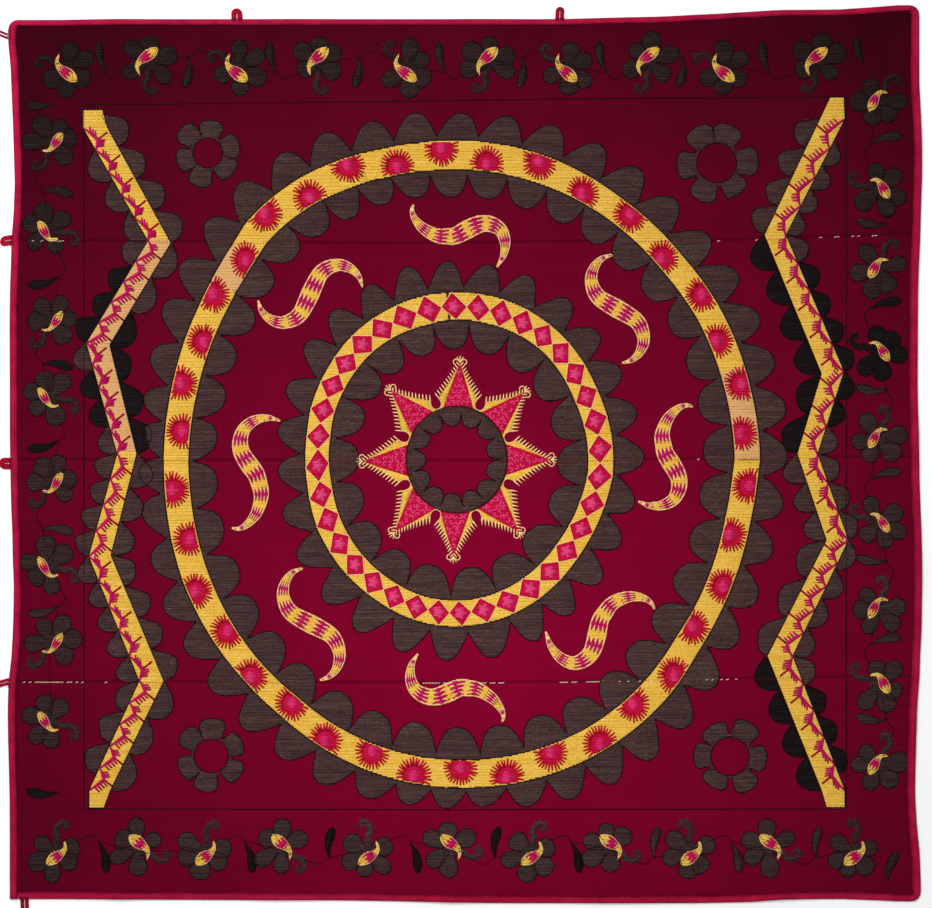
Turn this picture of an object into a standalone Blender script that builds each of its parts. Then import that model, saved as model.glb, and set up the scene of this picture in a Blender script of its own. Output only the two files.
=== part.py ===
"""An embroidered hanging of four loom widths, bound with folded tape and fitted with hanging loops.

It lies face up. X runs across the cloth, Y up the cloth and Z away from the surface it lies on.
The origin is on the underside, at the middle of the round medallion. Lengths are in metres.
"""

import math

import bmesh
import bpy
from mathutils import Vector

# Cloth: four loom widths sewn side by side
CLOTH_WIDTH = 2.18
LOOM_WIDTH = 0.53
CLOTH_THICKNESS = 0.0014
SEAM_GAP = 0.0003
PANEL_COLUMNS = 33
PANEL_ROWS = 9
PLACE_ROUNDS = 4

# Binding: a tape folded over the raw edge, so the cloth lies inside a flat C
TAPE_THICKNESS = 0.0008
TAPE_WIDTH = 0.0165
FOLD_CLEARANCE = 0.0003
FOLD_INSIDE = 0.0012
FOLD_ROUNDING = 0.0012
BINDING_HEIGHT = 2 * TAPE_THICKNESS + 2 * FOLD_CLEARANCE + CLOTH_THICKNESS
FOLD_OUTSIDE = FOLD_INSIDE + TAPE_THICKNESS

# The cloth rises onto the tape's lower leaf, and is flat on the surface further in
EDGE_RISE = TAPE_THICKNESS + FOLD_CLEARANCE
RISE_FLAT = 0.020
RISE_ENDS = 0.045
CORNER_RADIUS = 0.020
SPLIT_GAP = 0.0003
MITRE_RUN = 0.0050
WELD_DISTANCE = 0.00002

# The bound outline, as pairs of (place along the side, distance from the medallion's middle)
TOP_SIDE = (
    (-1.10, 1.063), (-0.95, 1.063), (-0.87, 1.065), (0.20, 1.065), (0.45, 1.070), (0.57, 1.075),
    (0.67, 1.082), (0.76, 1.087), (0.93, 1.088), (1.02, 1.097), (1.10, 1.102),
)
BOTTOM_SIDE = (
    (-1.10, -1.046), (-0.35, -1.049), (0.14, -1.056), (0.57, -1.056),
    (0.67, -1.054), (0.78, -1.047), (0.93, -1.046), (1.04, -1.052), (1.10, -1.053),
)
LEFT_SIDE = (
    (-1.05, -1.085), (-0.81, -1.085), (-0.60, -1.090), (-0.53, -1.088), (-0.43, -1.078), (-0.30, -1.075),
    (-0.20, -1.078), (-0.06, -1.083), (0.08, -1.085), (0.39, -1.085), (0.50, -1.082), (0.66, -1.073),
    (0.82, -1.077), (0.92, -1.082), (1.06, -1.092),
)
RIGHT_SIDE = (
    (-1.05, 1.102), (-0.98, 1.100), (-0.80, 1.087), (-0.62, 1.090), (-0.50, 1.098), (-0.38, 1.103),
    (-0.24, 1.104), (0.00, 1.097), (0.18, 1.093), (0.42, 1.094), (0.57, 1.100), (0.70, 1.104),
    (0.79, 1.103), (0.90, 1.097), (1.10, 1.097),
)
# The three seams, top to bottom, each as (place across the cloth, height up the cloth)
SEAMS = (
    ((-1.10, 0.533), (-0.20, 0.526), (0.55, 0.532), (1.10, 0.547)),
    ((-1.10, 0.006), (0.00, 0.004), (1.10, 0.013)),
    ((-1.10, -0.526), (0.00, -0.528), (1.10, -0.514)),
)

# Ripples where the bound edge has stretched: waves along a side, their start and their height
RIPPLES = {
    "top": {"waves": 5.0, "start": 0.9, "height": 0.0030},
    "right": {"waves": 6.0, "start": 0.2, "height": 0.0026},
    "bottom": {"waves": 5.5, "start": 2.1, "height": 0.0034},
    "left": {"waves": 4.0, "start": 4.2, "height": 0.0028},
}
RIPPLE_REACH = 0.22
RIPPLE_CORNER = 0.13

# Soft swells in the field where the stitching has drawn the cloth up
SWELL_COLUMNS = ("x", "y", "half_length", "half_width", "turn", "height")
SWELLS = (
    (0.70, 0.28, 0.24, 0.10, 8, 0.0030),
    (-0.62, 0.40, 0.26, 0.11, 72, 0.0022),
    (-0.50, -0.30, 0.25, 0.12, -55, 0.0024),
    (0.52, -0.40, 0.28, 0.11, 40, 0.0024),
    (0.10, 0.72, 0.30, 0.12, 4, 0.0020),
    (-0.05, -0.76, 0.32, 0.12, -6, 0.0022),
)

# Hanging loops: the side and place where each leaves the binding, its tilt in degrees and its tape
LOOP_THICKNESS = 0.0018
LOOP_COLUMNS = ("name", "side", "place", "tilt", "length", "tape", "slit")
LOOPS = (
    ("loop_top_left", "top", -0.540, -2, 0.026, 0.0125, 0.0018),
    ("loop_top_middle", "top", 0.234, 3, 0.029, 0.0095, 0.0018),
    ("loop_corner", "left", 1.024, 22, 0.034, 0.0060, 0.0030),
    ("loop_side_upper", "left", 0.535, -8, 0.028, 0.0115, 0.0018),
    ("loop_side_middle", "left", -0.001, 0, 0.027, 0.0130, 0.0018),
    ("loop_side_lower", "left", -0.524, -16, 0.030, 0.0075, 0.0018),
    ("loop_foot", "bottom", -1.050, 2, 0.042, 0.0090, 0.0018),
)
LOOP_ARC_STEPS = 10

# Each colour is the real cloth's, as linear red, green and blue, with its roughness
FINISHES = {
    "ground_cloth": {"colour": (0.155, 0.0013, 0.0165), "roughness": 0.80},
    "binding_tape": {"colour": (0.440, 0.0110, 0.0510), "roughness": 0.72},
    "loop_tape": {"colour": (0.400, 0.0060, 0.0350), "roughness": 0.74},
}


def clear_scene():
    """Removes whatever the scene holds."""
    for thing in list(bpy.data.objects):
        bpy.data.objects.remove(thing, do_unlink=True)


def smooth_step(t):
    """Eases from 0 to 1 as t goes from 0 to 1."""
    t = min(1.0, max(0.0, t))
    return t * t * (3 - 2 * t)


def along_side(side, place):
    """The side's distance at a place along it, eased from row to row."""
    for (low, before), (high, after) in zip(side, side[1:]):
        if place <= high:
            return before + (after - before) * smooth_step((place - low) / (high - low))
    return side[-1][1]


def row_of(columns, values):
    """One row of a table as a dict of its named columns."""
    return dict(zip(columns, values))


def cloth_side(name, place):
    """The raw edge of the cloth, inside the binding's fold."""
    sides = {"top": TOP_SIDE, "bottom": BOTTOM_SIDE, "left": LEFT_SIDE, "right": RIGHT_SIDE}
    inward = {"top": -1, "bottom": 1, "left": 1, "right": -1}[name]
    return along_side(sides[name], place) + inward * FOLD_OUTSIDE


def ripple(name, place, depth):
    """The height of the ripples of one side, at a place along it and a depth in from it."""
    wave = RIPPLES[name]
    half = CLOTH_WIDTH / 2 if name in ("top", "bottom") else 2 * LOOM_WIDTH
    from_corner = smooth_step((half - abs(place) - RIPPLE_CORNER) / RIPPLE_CORNER)
    crest = max(0.0, math.sin(math.pi * wave["waves"] * place / half + wave["start"]))
    inward = 1 - smooth_step((depth - RISE_ENDS) / (RIPPLE_REACH - RISE_ENDS))
    return wave["height"] * crest * crest * from_corner * inward


def swell(values, x, y):
    """The height of one soft swell at a point."""
    row = row_of(SWELL_COLUMNS, values)
    turn = math.radians(row["turn"])
    dx, dy = x - row["x"], y - row["y"]
    along = (dx * math.cos(turn) + dy * math.sin(turn)) / row["half_length"]
    across = (-dx * math.sin(turn) + dy * math.cos(turn)) / row["half_width"]
    return row["height"] * (1 - smooth_step(math.hypot(along, across)))


def lift(x, y):
    """How far the cloth stands off the surface, apart from its rise onto the binding."""
    top, bottom = cloth_side("top", x) - y, y - cloth_side("bottom", x)
    left, right = x - cloth_side("left", y), cloth_side("right", y) - x
    ripples = (
        ripple("top", x, top) + ripple("bottom", x, bottom)
        + ripple("left", y, left) + ripple("right", y, right)
    )
    return ripples + sum(swell(values, x, y) for values in SWELLS)


def underside(x, y):
    """The height of the cloth's underside, with its rise onto the binding's lower leaf."""
    edges = (
        cloth_side("top", x) - y, y - cloth_side("bottom", x),
        x - cloth_side("left", y), cloth_side("right", y) - x,
    )
    inside = (min(edges) - RISE_FLAT) / (RISE_ENDS - RISE_FLAT)
    return lift(x, y) + EDGE_RISE * min(1.0, max(0.0, 1 - inside))


def seam_height(seam, x):
    """The height up the cloth of seam 0 to 4, where 0 is the top edge and 4 the bottom one."""
    if seam == 0:
        return cloth_side("top", x)
    if seam == 4:
        return cloth_side("bottom", x)
    return along_side(SEAMS[seam - 1], x)


def grid_shares(cells, length, bound_low, bound_high):
    """Shares of a length at which grid lines lie, with extra lines where an edge is bound."""
    low = [0.0, RISE_FLAT / length, RISE_ENDS / length] if bound_low else [0.0]
    high = [1 - RISE_ENDS / length, 1 - RISE_FLAT / length, 1.0] if bound_high else [1.0]
    steps = cells - (len(low) - 1) - (len(high) - 1)
    start, end = low[-1], high[0]
    middle = [start + (end - start) * k / steps for k in range(1, steps)]
    return low + middle + high


def panel_shares(panel):
    """The grid lines of one panel, across the cloth and up it."""
    across = grid_shares(PANEL_COLUMNS, CLOTH_WIDTH, True, True)
    up = grid_shares(PANEL_ROWS, LOOM_WIDTH, panel == 3, panel == 0)
    return across, up


def cloth_place(panel, share_x, share_y):
    """The point of a panel at a share of its width and of its height.

    Its edges are uneven, so its place across and its place up are worked out from each other in turn.
    """
    half_gap = SEAM_GAP / 2
    x, y = 0.0, 0.0
    for _ in range(PLACE_ROUNDS):
        lower = seam_height(panel + 1, x) + (0.0 if panel == 3 else half_gap)
        upper = seam_height(panel, x) - (0.0 if panel == 0 else half_gap)
        y = lower + (upper - lower) * share_y
        left, right = cloth_side("left", y), cloth_side("right", y)
        x = left + (right - left) * share_x
    return x, y


def rounded_corner(panel, share_x, share_y, x, y):
    """Draws a bound corner's own point in to the middle of its arc. The foot on the left is square."""
    inset = CORNER_RADIUS * (1 - math.sqrt(0.5))
    at_top = panel == 0 and share_y == 1.0
    at_foot = panel == 3 and share_y == 0.0
    if at_top and share_x in (0.0, 1.0):
        return x + inset * (1 if share_x == 0.0 else -1), y - inset
    if at_foot and share_x == 1.0:
        return x - inset, y + inset
    return x, y


def panel_point(panel, share_x, share_y):
    """A point of a panel's underside, in place."""
    x, y = cloth_place(panel, share_x, share_y)
    z = underside(x, y)
    x, y = rounded_corner(panel, share_x, share_y, x, y)
    return Vector((x, y, z))


def finish_of(name):
    """The Principled material of one finish."""
    material = bpy.data.materials.get(name) or bpy.data.materials.new(name)
    material.use_nodes = True
    shader = material.node_tree.nodes["Principled BSDF"]
    shader.inputs["Base Color"].default_value = (*FINISHES[name]["colour"], 1.0)
    shader.inputs["Roughness"].default_value = FINISHES[name]["roughness"]
    shader.inputs["Metallic"].default_value = 0.0
    return material


def add_to(collection, thing, finish):
    """Moves an object into the hanging's collection and gives it its finish."""
    for old in list(thing.users_collection):
        old.objects.unlink(thing)
    collection.objects.link(thing)
    thing.data.materials.append(finish_of(finish))
    return thing


def make_panel(collection, panel):
    """One loom width of cloth, laid flat with its ripples and swells."""
    across, up = panel_shares(panel)
    bpy.ops.mesh.primitive_grid_add(x_subdivisions=PANEL_COLUMNS, y_subdivisions=PANEL_ROWS, size=1)
    cloth = bpy.context.object
    cloth.name = f"panel_{panel + 1}"
    for point in cloth.data.vertices:
        column = round((point.co.x + 0.5) * PANEL_COLUMNS)
        row = round((point.co.y + 0.5) * PANEL_ROWS)
        point.co = panel_point(panel, across[column], up[row])
    thicken = cloth.modifiers.new("Cloth thickness", "SOLIDIFY")
    thicken.thickness = CLOTH_THICKNESS
    thicken.offset = 1.0
    return add_to(collection, cloth, "ground_cloth")


def side_stations(name):
    """The cloth's edge points along one side, in the order that goes clockwise round the cloth."""
    if name == "top":
        return [panel_point(0, share, 1.0) for share in panel_shares(0)[0]]
    if name == "bottom":
        return [panel_point(3, share, 0.0) for share in reversed(panel_shares(3)[0])]
    share_x = 0.0 if name == "left" else 1.0
    points = []
    for panel in (3, 2, 1, 0):
        shares = panel_shares(panel)[1]
        points += [panel_point(panel, share_x, share) for share in shares[(0 if panel == 3 else 1):]]
    return points if name == "left" else points[::-1]


def toward(point, target, distance):
    """The point moved a distance toward its target."""
    return point + (target - point).normalized() * distance


def mitred(points, turn):
    """Ends a path at a rounded corner along the arc's own tangent, half a gap short of the corner."""
    tangent = Vector((math.cos(math.radians(turn)), math.sin(math.radians(turn)), 0))
    corner = points[-1]
    return points[:-1] + [corner - tangent * MITRE_RUN, corner - tangent * (SPLIT_GAP / 2)]


def binding_path(name):
    """The line that one side's binding follows, which is the cloth's raw edge, clockwise."""
    points = side_stations(name)
    if name == "left":
        foot = points[0] + Vector((0, -FOLD_OUTSIDE, 0))
        return mitred([foot] + points[1:], 45)
    if name == "top":
        return mitred(mitred(points, -45)[::-1], -135)[::-1]
    if name == "right":
        return mitred(mitred(points, -135)[::-1], 135)[::-1]
    over_left = TAPE_WIDTH - FOLD_OUTSIDE + SPLIT_GAP
    points[-1] = toward(points[-1], points[-2], over_left)
    return mitred(points[::-1], 45)[::-1]


def fold_section():
    """The C of folded tape across the binding: x inwards from the raw edge, y up from the surface."""
    leaf, outside = TAPE_THICKNESS, -FOLD_OUTSIDE
    inner = TAPE_WIDTH - FOLD_OUTSIDE
    middle, top = BINDING_HEIGHT / 2, BINDING_HEIGHT
    round_out, round_in = outside + FOLD_ROUNDING, outside + leaf + FOLD_ROUNDING / 2
    return [
        (inner, 0.0), (round_out, 0.0), (outside, middle), (round_out, top), (inner, top),
        (inner, top - leaf), (round_in, top - leaf), (outside + leaf, middle),
        (round_in, leaf), (inner, leaf),
    ]


def poly_curve(name, points, cyclic, dimensions):
    """A curve object of straight runs through these points."""
    data = bpy.data.curves.new(name, "CURVE")
    data.dimensions = dimensions
    spline = data.splines.new("POLY")
    spline.points.add(len(points) - 1)
    for target, point in zip(spline.points, points):
        target.co = (*point, 1.0) if len(point) == 3 else (*point, 0.0, 1.0)
    spline.use_cyclic_u = cyclic
    return bpy.data.objects.new(name, data)


def closed_mesh(curve_object, name):
    """Turns a capped curve into one closed mesh with its faces pointing out."""
    evaluated = curve_object.evaluated_get(bpy.context.evaluated_depsgraph_get())
    mesh = bpy.data.meshes.new_from_object(evaluated)
    shape = bmesh.new()
    shape.from_mesh(mesh)
    bmesh.ops.remove_doubles(shape, verts=shape.verts, dist=WELD_DISTANCE)
    bmesh.ops.recalc_face_normals(shape, faces=shape.faces)
    shape.to_mesh(mesh)
    shape.free()
    solid = bpy.data.objects.new(name, mesh)
    solid.matrix_world = curve_object.matrix_world
    bpy.data.objects.remove(curve_object, do_unlink=True)
    return solid


def make_binding(collection, name, section):
    """One side's tape, folded over the raw edge of the cloth."""
    path = [Vector((p.x, p.y, p.z - EDGE_RISE)) for p in binding_path(name)]
    route = poly_curve(f"route_{name}", path, False, "3D")
    route.data.twist_mode = "Z_UP"
    route.data.bevel_mode = "OBJECT"
    route.data.bevel_object = section
    route.data.use_fill_caps = True
    collection.objects.link(route)
    return add_to(collection, closed_mesh(route, f"binding_{name}"), "binding_tape")


def bound_edge(name, place):
    """How far out the binding's fold lies at a place along a side, read along its straight runs."""
    outward = 1 if name in ("top", "right") else -1
    runs = [(p.x, p.y) if name in ("top", "bottom") else (p.y, p.x) for p in side_stations(name)]
    runs.sort()
    for (low, before), (high, after) in zip(runs, runs[1:]):
        if place <= high:
            edge = before + (after - before) * (place - low) / (high - low)
            return outward * edge + FOLD_OUTSIDE
    return outward * runs[-1][1] + FOLD_OUTSIDE


def loop_shape(row):
    """The U of a flattened loop: pairs of (way out from the binding, way along the side)."""
    half_slit = row["slit"] / 2
    outer = half_slit + row["tape"]
    centre = row["length"] - outer
    angles = [math.pi * (k / LOOP_ARC_STEPS - 0.5) for k in range(LOOP_ARC_STEPS + 1)]
    outside = [(centre + outer * math.cos(a), outer * math.sin(a)) for a in angles]
    inside = [(centre + half_slit * math.cos(a), half_slit * math.sin(a)) for a in reversed(angles)]
    return [(0.0, -outer)] + outside + [(0.0, outer), (0.0, half_slit)] + inside + [(0.0, -half_slit)]


def loop_outline(row):
    """The loop's outline in place, its root lying along the binding's fold."""
    name, place = row["side"], row["place"]
    outer = row["slit"] / 2 + row["tape"]
    low, high = bound_edge(name, place - outer), bound_edge(name, place + outer)

    def root(across):
        return low + (high - low) * (across / outer + 1) / 2

    spots = [outer * (k / 4 - 1) for k in range(9)]
    clear = max(bound_edge(name, place + spot) - root(spot) for spot in spots) + SEAM_GAP
    tilt = math.radians(row["tilt"])
    points = []
    for out, across in loop_shape(row):
        reach = root(across) + clear + out * math.cos(tilt)
        along = place + across + out * math.sin(tilt)
        points.append({
            "top": (along, reach), "bottom": (along, -reach),
            "left": (-reach, along), "right": (reach, along),
        }[name])
    return points


def make_loop(collection, values):
    """A hanging loop of folded tape, its legs side by side, its root against the binding."""
    row = row_of(LOOP_COLUMNS, values)
    loop = poly_curve(row["name"], loop_outline(row), True, "2D")
    loop.data.fill_mode = "BOTH"
    loop.data.extrude = LOOP_THICKNESS / 2
    loop.location.z = LOOP_THICKNESS / 2
    return add_to(collection, loop, "loop_tape")


def build():
    """The whole hanging."""
    clear_scene()
    hanging = bpy.data.collections.new("embroidered_hanging")
    guides = bpy.data.collections.new("guides")
    bpy.context.scene.collection.children.link(hanging)
    bpy.context.scene.collection.children.link(guides)
    for panel in range(4):
        make_panel(hanging, panel)
    section = poly_curve("fold_section", fold_section(), True, "2D")
    section.data.fill_mode = "NONE"
    section.hide_render = True
    section.display_type = "WIRE"
    guides.objects.link(section)
    for name in ("left", "top", "right", "bottom"):
        make_binding(hanging, name, section)
    for values in LOOPS:
        make_loop(hanging, values)


build()
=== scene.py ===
# %% [markdown]
# # An embroidered hanging of four loom widths
# Hangings like this one are sewn at home from narrow strips of hand-loomed cloth. The strips are tacked
# together, drawn on with a pen, parted again so that several people can stitch at once, and sewn up for
# good when the silk is done. That is why a motif often steps or changes colour where two strips meet.
# The lesson loads the solid model, lays a fine cloth over it, and then embroiders that cloth with real
# raised threads, so every petal, ray and tooth is geometry that keeps its shape from any side.

# %% Load the frame
import math
import random
from functools import lru_cache

import bpy
import numpy as np
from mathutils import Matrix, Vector
from mathutils.bvhtree import BVHTree


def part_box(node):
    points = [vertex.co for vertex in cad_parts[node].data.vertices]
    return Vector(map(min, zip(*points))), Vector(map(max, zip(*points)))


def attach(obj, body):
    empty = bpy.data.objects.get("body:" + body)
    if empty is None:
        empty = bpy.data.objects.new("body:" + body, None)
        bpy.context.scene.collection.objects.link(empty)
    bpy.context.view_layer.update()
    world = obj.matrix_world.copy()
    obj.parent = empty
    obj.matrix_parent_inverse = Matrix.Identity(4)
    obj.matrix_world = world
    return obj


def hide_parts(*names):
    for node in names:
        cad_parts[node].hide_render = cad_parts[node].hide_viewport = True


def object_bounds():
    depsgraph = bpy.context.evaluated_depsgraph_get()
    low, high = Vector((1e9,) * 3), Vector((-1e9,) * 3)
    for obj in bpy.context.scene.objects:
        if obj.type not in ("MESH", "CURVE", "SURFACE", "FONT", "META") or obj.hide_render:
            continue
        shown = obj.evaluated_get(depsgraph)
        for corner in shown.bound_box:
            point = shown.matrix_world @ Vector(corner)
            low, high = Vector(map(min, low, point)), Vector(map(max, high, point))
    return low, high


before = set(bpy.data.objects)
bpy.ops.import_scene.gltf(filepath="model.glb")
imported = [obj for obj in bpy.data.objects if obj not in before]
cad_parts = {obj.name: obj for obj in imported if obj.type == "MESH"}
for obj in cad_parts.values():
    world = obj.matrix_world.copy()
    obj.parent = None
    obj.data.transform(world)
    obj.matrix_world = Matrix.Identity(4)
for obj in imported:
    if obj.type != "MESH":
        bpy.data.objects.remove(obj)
CAD_LOW, CAD_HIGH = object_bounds()
MM = 0.001
PANELS = ("panel_1", "panel_2", "panel_3", "panel_4")
print("The frame holds", len(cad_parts), "nodes,", round(CAD_HIGH.x - CAD_LOW.x, 3), "m across")

# %% [markdown]
# ## Reading the lie of the cloth from the solids
# Every thread has to sit on the cloth, and the cloth has low ripples. A tree of the panels' faces answers
# one question quickly: how high is the cloth here? The answers go in a grid that is smoothed a little, and
# the rest of the lesson reads heights from that grid. The same tree finds the raw edges and the seams, by
# halving the distance between a point on the cloth and one off it.

# %% Heights, edges and seams of the cloth
GRID_STEP = 10.0
CLOTH_THICKNESS = 1.4
LEAF_BELOW_CLOTH = 2.5


def panel_tree():
    """A tree of all the panels' faces, and the first face number of each panel."""
    corners, faces, firsts = [], [], []
    for name in PANELS:
        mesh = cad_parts[name].data
        firsts.append(len(faces))
        start = len(corners)
        corners += [vertex.co.copy() for vertex in mesh.vertices]
        faces += [[start + index for index in face.vertices] for face in mesh.polygons]
    return BVHTree.FromPolygons(corners, faces), firsts


TREE, FIRST_FACES = panel_tree()


def height_at(x, y):
    """The cloth's top at a point in millimetres, or the nearest cloth's where the point is off it."""
    hit = TREE.ray_cast(Vector((x * MM, y * MM, 0.1)), Vector((0, 0, -1)))[0]
    if hit is None:
        hit = TREE.find_nearest(Vector((x * MM, y * MM, 0.003)))[0]
    return hit.z / MM


def panel_under(x, y):
    """Which panel lies under a point, from 0 at the top, or -1 where there is none."""
    face = TREE.ray_cast(Vector((x * MM, y * MM, 0.1)), Vector((0, 0, -1)))[2]
    if face is None:
        return -1
    return sum(face >= first for first in FIRST_FACES) - 1


def halved(inside, outside, is_inside):
    """The place between two points where the answer changes."""
    for _ in range(16):
        middle = (inside + outside) / 2
        if is_inside(middle):
            inside = middle
        else:
            outside = middle
    return (inside + outside) / 2


GRID_X = np.arange(CAD_LOW.x / MM - GRID_STEP, CAD_HIGH.x / MM + 2 * GRID_STEP, GRID_STEP)
GRID_Y = np.arange(CAD_LOW.y / MM - GRID_STEP, CAD_HIGH.y / MM + 2 * GRID_STEP, GRID_STEP)
HEIGHTS = np.array([[height_at(x, y) for x in GRID_X] for y in GRID_Y])
for _ in range(2):
    padded = np.pad(HEIGHTS, 1, mode="edge")
    HEIGHTS = (padded[:-2, 1:-1] + padded[2:, 1:-1] + padded[1:-1, :-2] + padded[1:-1, 2:] + 4 * HEIGHTS) / 8

EDGE_Y = np.arange(-1010.0, 1030.0, 20.0)
EDGE_X = np.arange(-1050.0, 1070.0, 20.0)
LEFT_EDGE = [halved(-1000.0, -1130.0, lambda x: panel_under(x, y) >= 0) for y in EDGE_Y]
RIGHT_EDGE = [halved(1000.0, 1130.0, lambda x: panel_under(x, y) >= 0) for y in EDGE_Y]
TOP_EDGE = [halved(1000.0, 1130.0, lambda y: panel_under(x, y) >= 0) for x in EDGE_X]
BOTTOM_EDGE = [halved(-1000.0, -1130.0, lambda y: panel_under(x, y) >= 0) for x in EDGE_X]
SEAM_LINES = [
    [halved(high, low, lambda y: 0 <= panel_under(x, y) <= upper) for x in EDGE_X]
    for upper, (high, low) in enumerate(((700.0, 300.0), (150.0, -150.0), (-400.0, -650.0)))
]
print("Heights from", round(HEIGHTS.min(), 2), "to", round(HEIGHTS.max(), 2), "mm")

# %% [markdown]
# ## Creases and puckers
# A cloth that has been folded away and stitched all over is never smooth. The solids carry the broad
# ripples, and the sharper creases are listed here: each is a soft ridge or trough with its own
# place, length, width and turn. The seams get a shallow valley, because two butted edges sink a little
# between the cloths, and the silk draws the ground up into faint waves that cross the cloth.

# %% The height of the cloth anywhere
CREASE_COLUMNS = ("x", "y", "length", "width", "turn", "height")
CREASES = (
    (700, 300, 150, 9, 24, 0.9), (716, 262, 120, 8, 30, -0.7), (660, 330, 110, 8, 14, 0.6),
    (-905, 545, 210, 10, -84, 0.6), (-900, -120, 320, 12, -88, -0.5), (920, -420, 260, 10, 86, 0.5),
    (-420, 905, 240, 12, 6, 0.5), (330, 930, 260, 11, -4, -0.5), (40, -930, 300, 12, 3, 0.6),
    (-310, -300, 180, 12, 48, 0.5), (260, 120, 140, 12, -35, 0.4), (-120, 330, 170, 12, 70, -0.4),
    (520, -640, 160, 10, -20, 0.6), (-640, -720, 150, 10, 33, 0.6), (610, 860, 170, 11, 12, 0.7),
)
SEAM_VALLEY = 0.25
SEAM_REACH = 9.0


def grid_height(x, y):
    """Heights read from the grid, eased between its points."""
    column = np.clip((x - GRID_X[0]) / GRID_STEP, 0, len(GRID_X) - 1.001)
    row = np.clip((y - GRID_Y[0]) / GRID_STEP, 0, len(GRID_Y) - 1.001)
    i, j = column.astype(int), row.astype(int)
    s, t = column - i, row - j
    low = HEIGHTS[j, i] * (1 - s) + HEIGHTS[j, i + 1] * s
    high = HEIGHTS[j + 1, i] * (1 - s) + HEIGHTS[j + 1, i + 1] * s
    return low * (1 - t) + high * t


def crease_height(x, y):
    """The sum of the listed creases."""
    total = np.zeros_like(x)
    for values in CREASES:
        crease = dict(zip(CREASE_COLUMNS, values))
        turn = math.radians(crease["turn"])
        dx, dy = x - crease["x"], y - crease["y"]
        along = (dx * math.cos(turn) + dy * math.sin(turn)) / crease["length"]
        across = (-dx * math.sin(turn) + dy * math.cos(turn)) / crease["width"]
        total += crease["height"] * np.exp(-(across + 0.8 * along**2) ** 2 - along**2 * 3)
    return total


def pucker_height(x, y):
    """Faint waves where the stitching has drawn the ground up."""
    slow = np.sin(x / 61 + 1.3 * np.sin(y / 83)) * np.sin(y / 47 + 1.1 * np.sin(x / 109))
    quick = np.sin(x / 17.0 + 2 * np.sin(y / 41)) * np.sin(y / 13.0 + np.sin(x / 37))
    return 0.22 * slow + 0.10 * quick


def seam_distance(x, y):
    """How far a point lies from the nearest seam."""
    return np.min([np.abs(y - np.interp(x, EDGE_X, seam)) for seam in SEAM_LINES], axis=0)


def lie(x, y):
    """The height of the cloth's upper face, in millimetres."""
    x, y = np.asarray(x, float), np.asarray(y, float)
    soft = grid_height(x, y) + crease_height(x, y) + pucker_height(x, y)
    soft -= SEAM_VALLEY * np.exp(-(seam_distance(x, y) / SEAM_REACH) ** 2)
    return np.maximum(soft, CLOTH_THICKNESS + 0.05)


print("The cloth lies", round(float(lie(0, 0)), 2), "mm high at the middle")

# %% [markdown]
# ## Colours
# The colours were matched to the photograph and are written as sRGB hex, the way a paint chart
# gives them. Blender works in linear light, so one function turns each of them.

# %% Dyes
DYES = {
    "ground": "#81022B", "ground faded and shaded": "#32020E", "fleck": "#9C7F5E",
    "brown": "#463131", "brown light": "#645048", "brown deep": "#321F1F",
    "dark brown": "#443130", "dark brown light": "#5C4A46", "dark brown deep": "#301F1F",
    "black": "#181213", "black light": "#2B2425", "outline": "#1A0C0D",
    "yellow": "#ECB944", "yellow light": "#FBDA7A", "yellow deep": "#CE982C",
    "sand": "#E0AA6E", "sand light": "#F2C38C", "sand deep": "#C98F54",
    "edging": "#F6D495", "crimson": "#C00F3C", "crimson deep": "#9E082C", "pink": "#DA2A68",
    "pink light": "#EE4F86", "red": "#BF0C2E", "red deep": "#94061F", "orchid": "#E2447A",
    "magenta": "#BE1159", "magenta deep": "#8E0A3C",
    "binding": "#961034", "binding deep": "#5A061E", "binding light": "#B0203F", "pale thread": "#F4E6D4",
    "loop": "#A0102C", "loop deep": "#6E0A20", "floor": "#FBFAFA",
}


def linear(dye):
    """The linear colour of an sRGB hex value, with full alpha."""
    code = DYES[dye].lstrip("#")
    shares = [int(code[k:k + 2], 16) / 255 for k in (0, 2, 4)]
    return tuple(s / 12.92 if s <= 0.04045 else ((s + 0.055) / 1.055) ** 2.4 for s in shares) + (1.0,)


print("Ground dye in linear light:", [round(value, 3) for value in linear("ground")])

# %% [markdown]
# ## Finishes
# All of it is textile, which is a dielectric with a rough surface: IOR 1.5, metallic 0. Lint scatters what
# would be a clear highlight, so the specular level is low. Cotton ground cloth is matte (roughness near
# 0.85) and loosely spun silk is smoother (roughness near 0.5). The hanging is brightest a little below its
# middle and darkens toward its corners, so every dye is darkened with the distance from one spot. This is
# partly the dye fading and partly painted shade, where the light falls off toward the corners.

# %% A helper for nodes, and how the dye fades and is darkened with painted shade
SILK_ROUGHNESS, COTTON_ROUGHNESS, TAPE_ROUGHNESS, TEXTILE_IOR = 0.52, 0.86, 0.78, 1.5
LINT_SPECULAR = 0.02
# The spot where the hanging is brightest, and the distance at which faded dye and painted shade are at their
# darkest.
BRIGHTEST_SPOT = (0.10, -0.42, 0.0)
FADED_AND_SHADED_AT = 1.76


def add(tree, kind, inputs=(), **settings):
    """Adds a node with its settings. Each input is a value, or another node's output to link."""
    node = tree.nodes.new(kind)
    for name, value in settings.items():
        setattr(node, name, value)
    for socket, value in dict(inputs).items():
        if isinstance(value, bpy.types.NodeSocket):
            tree.links.new(value, node.inputs[socket])
        else:
            node.inputs[socket].default_value = value
    return node


def start_finish(name, roughness):
    """A new material with its Principled shader, and its object coordinates."""
    material = bpy.data.materials.new(name)
    material.use_nodes = True
    tree = material.node_tree
    shader = tree.nodes["Principled BSDF"]
    shader.inputs["Roughness"].default_value = roughness
    shader.inputs["IOR"].default_value = TEXTILE_IOR
    shader.inputs["Specular IOR Level"].default_value = LINT_SPECULAR
    place = add(tree, "ShaderNodeTexCoord").outputs["Object"]
    return material, tree, shader, place


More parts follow.
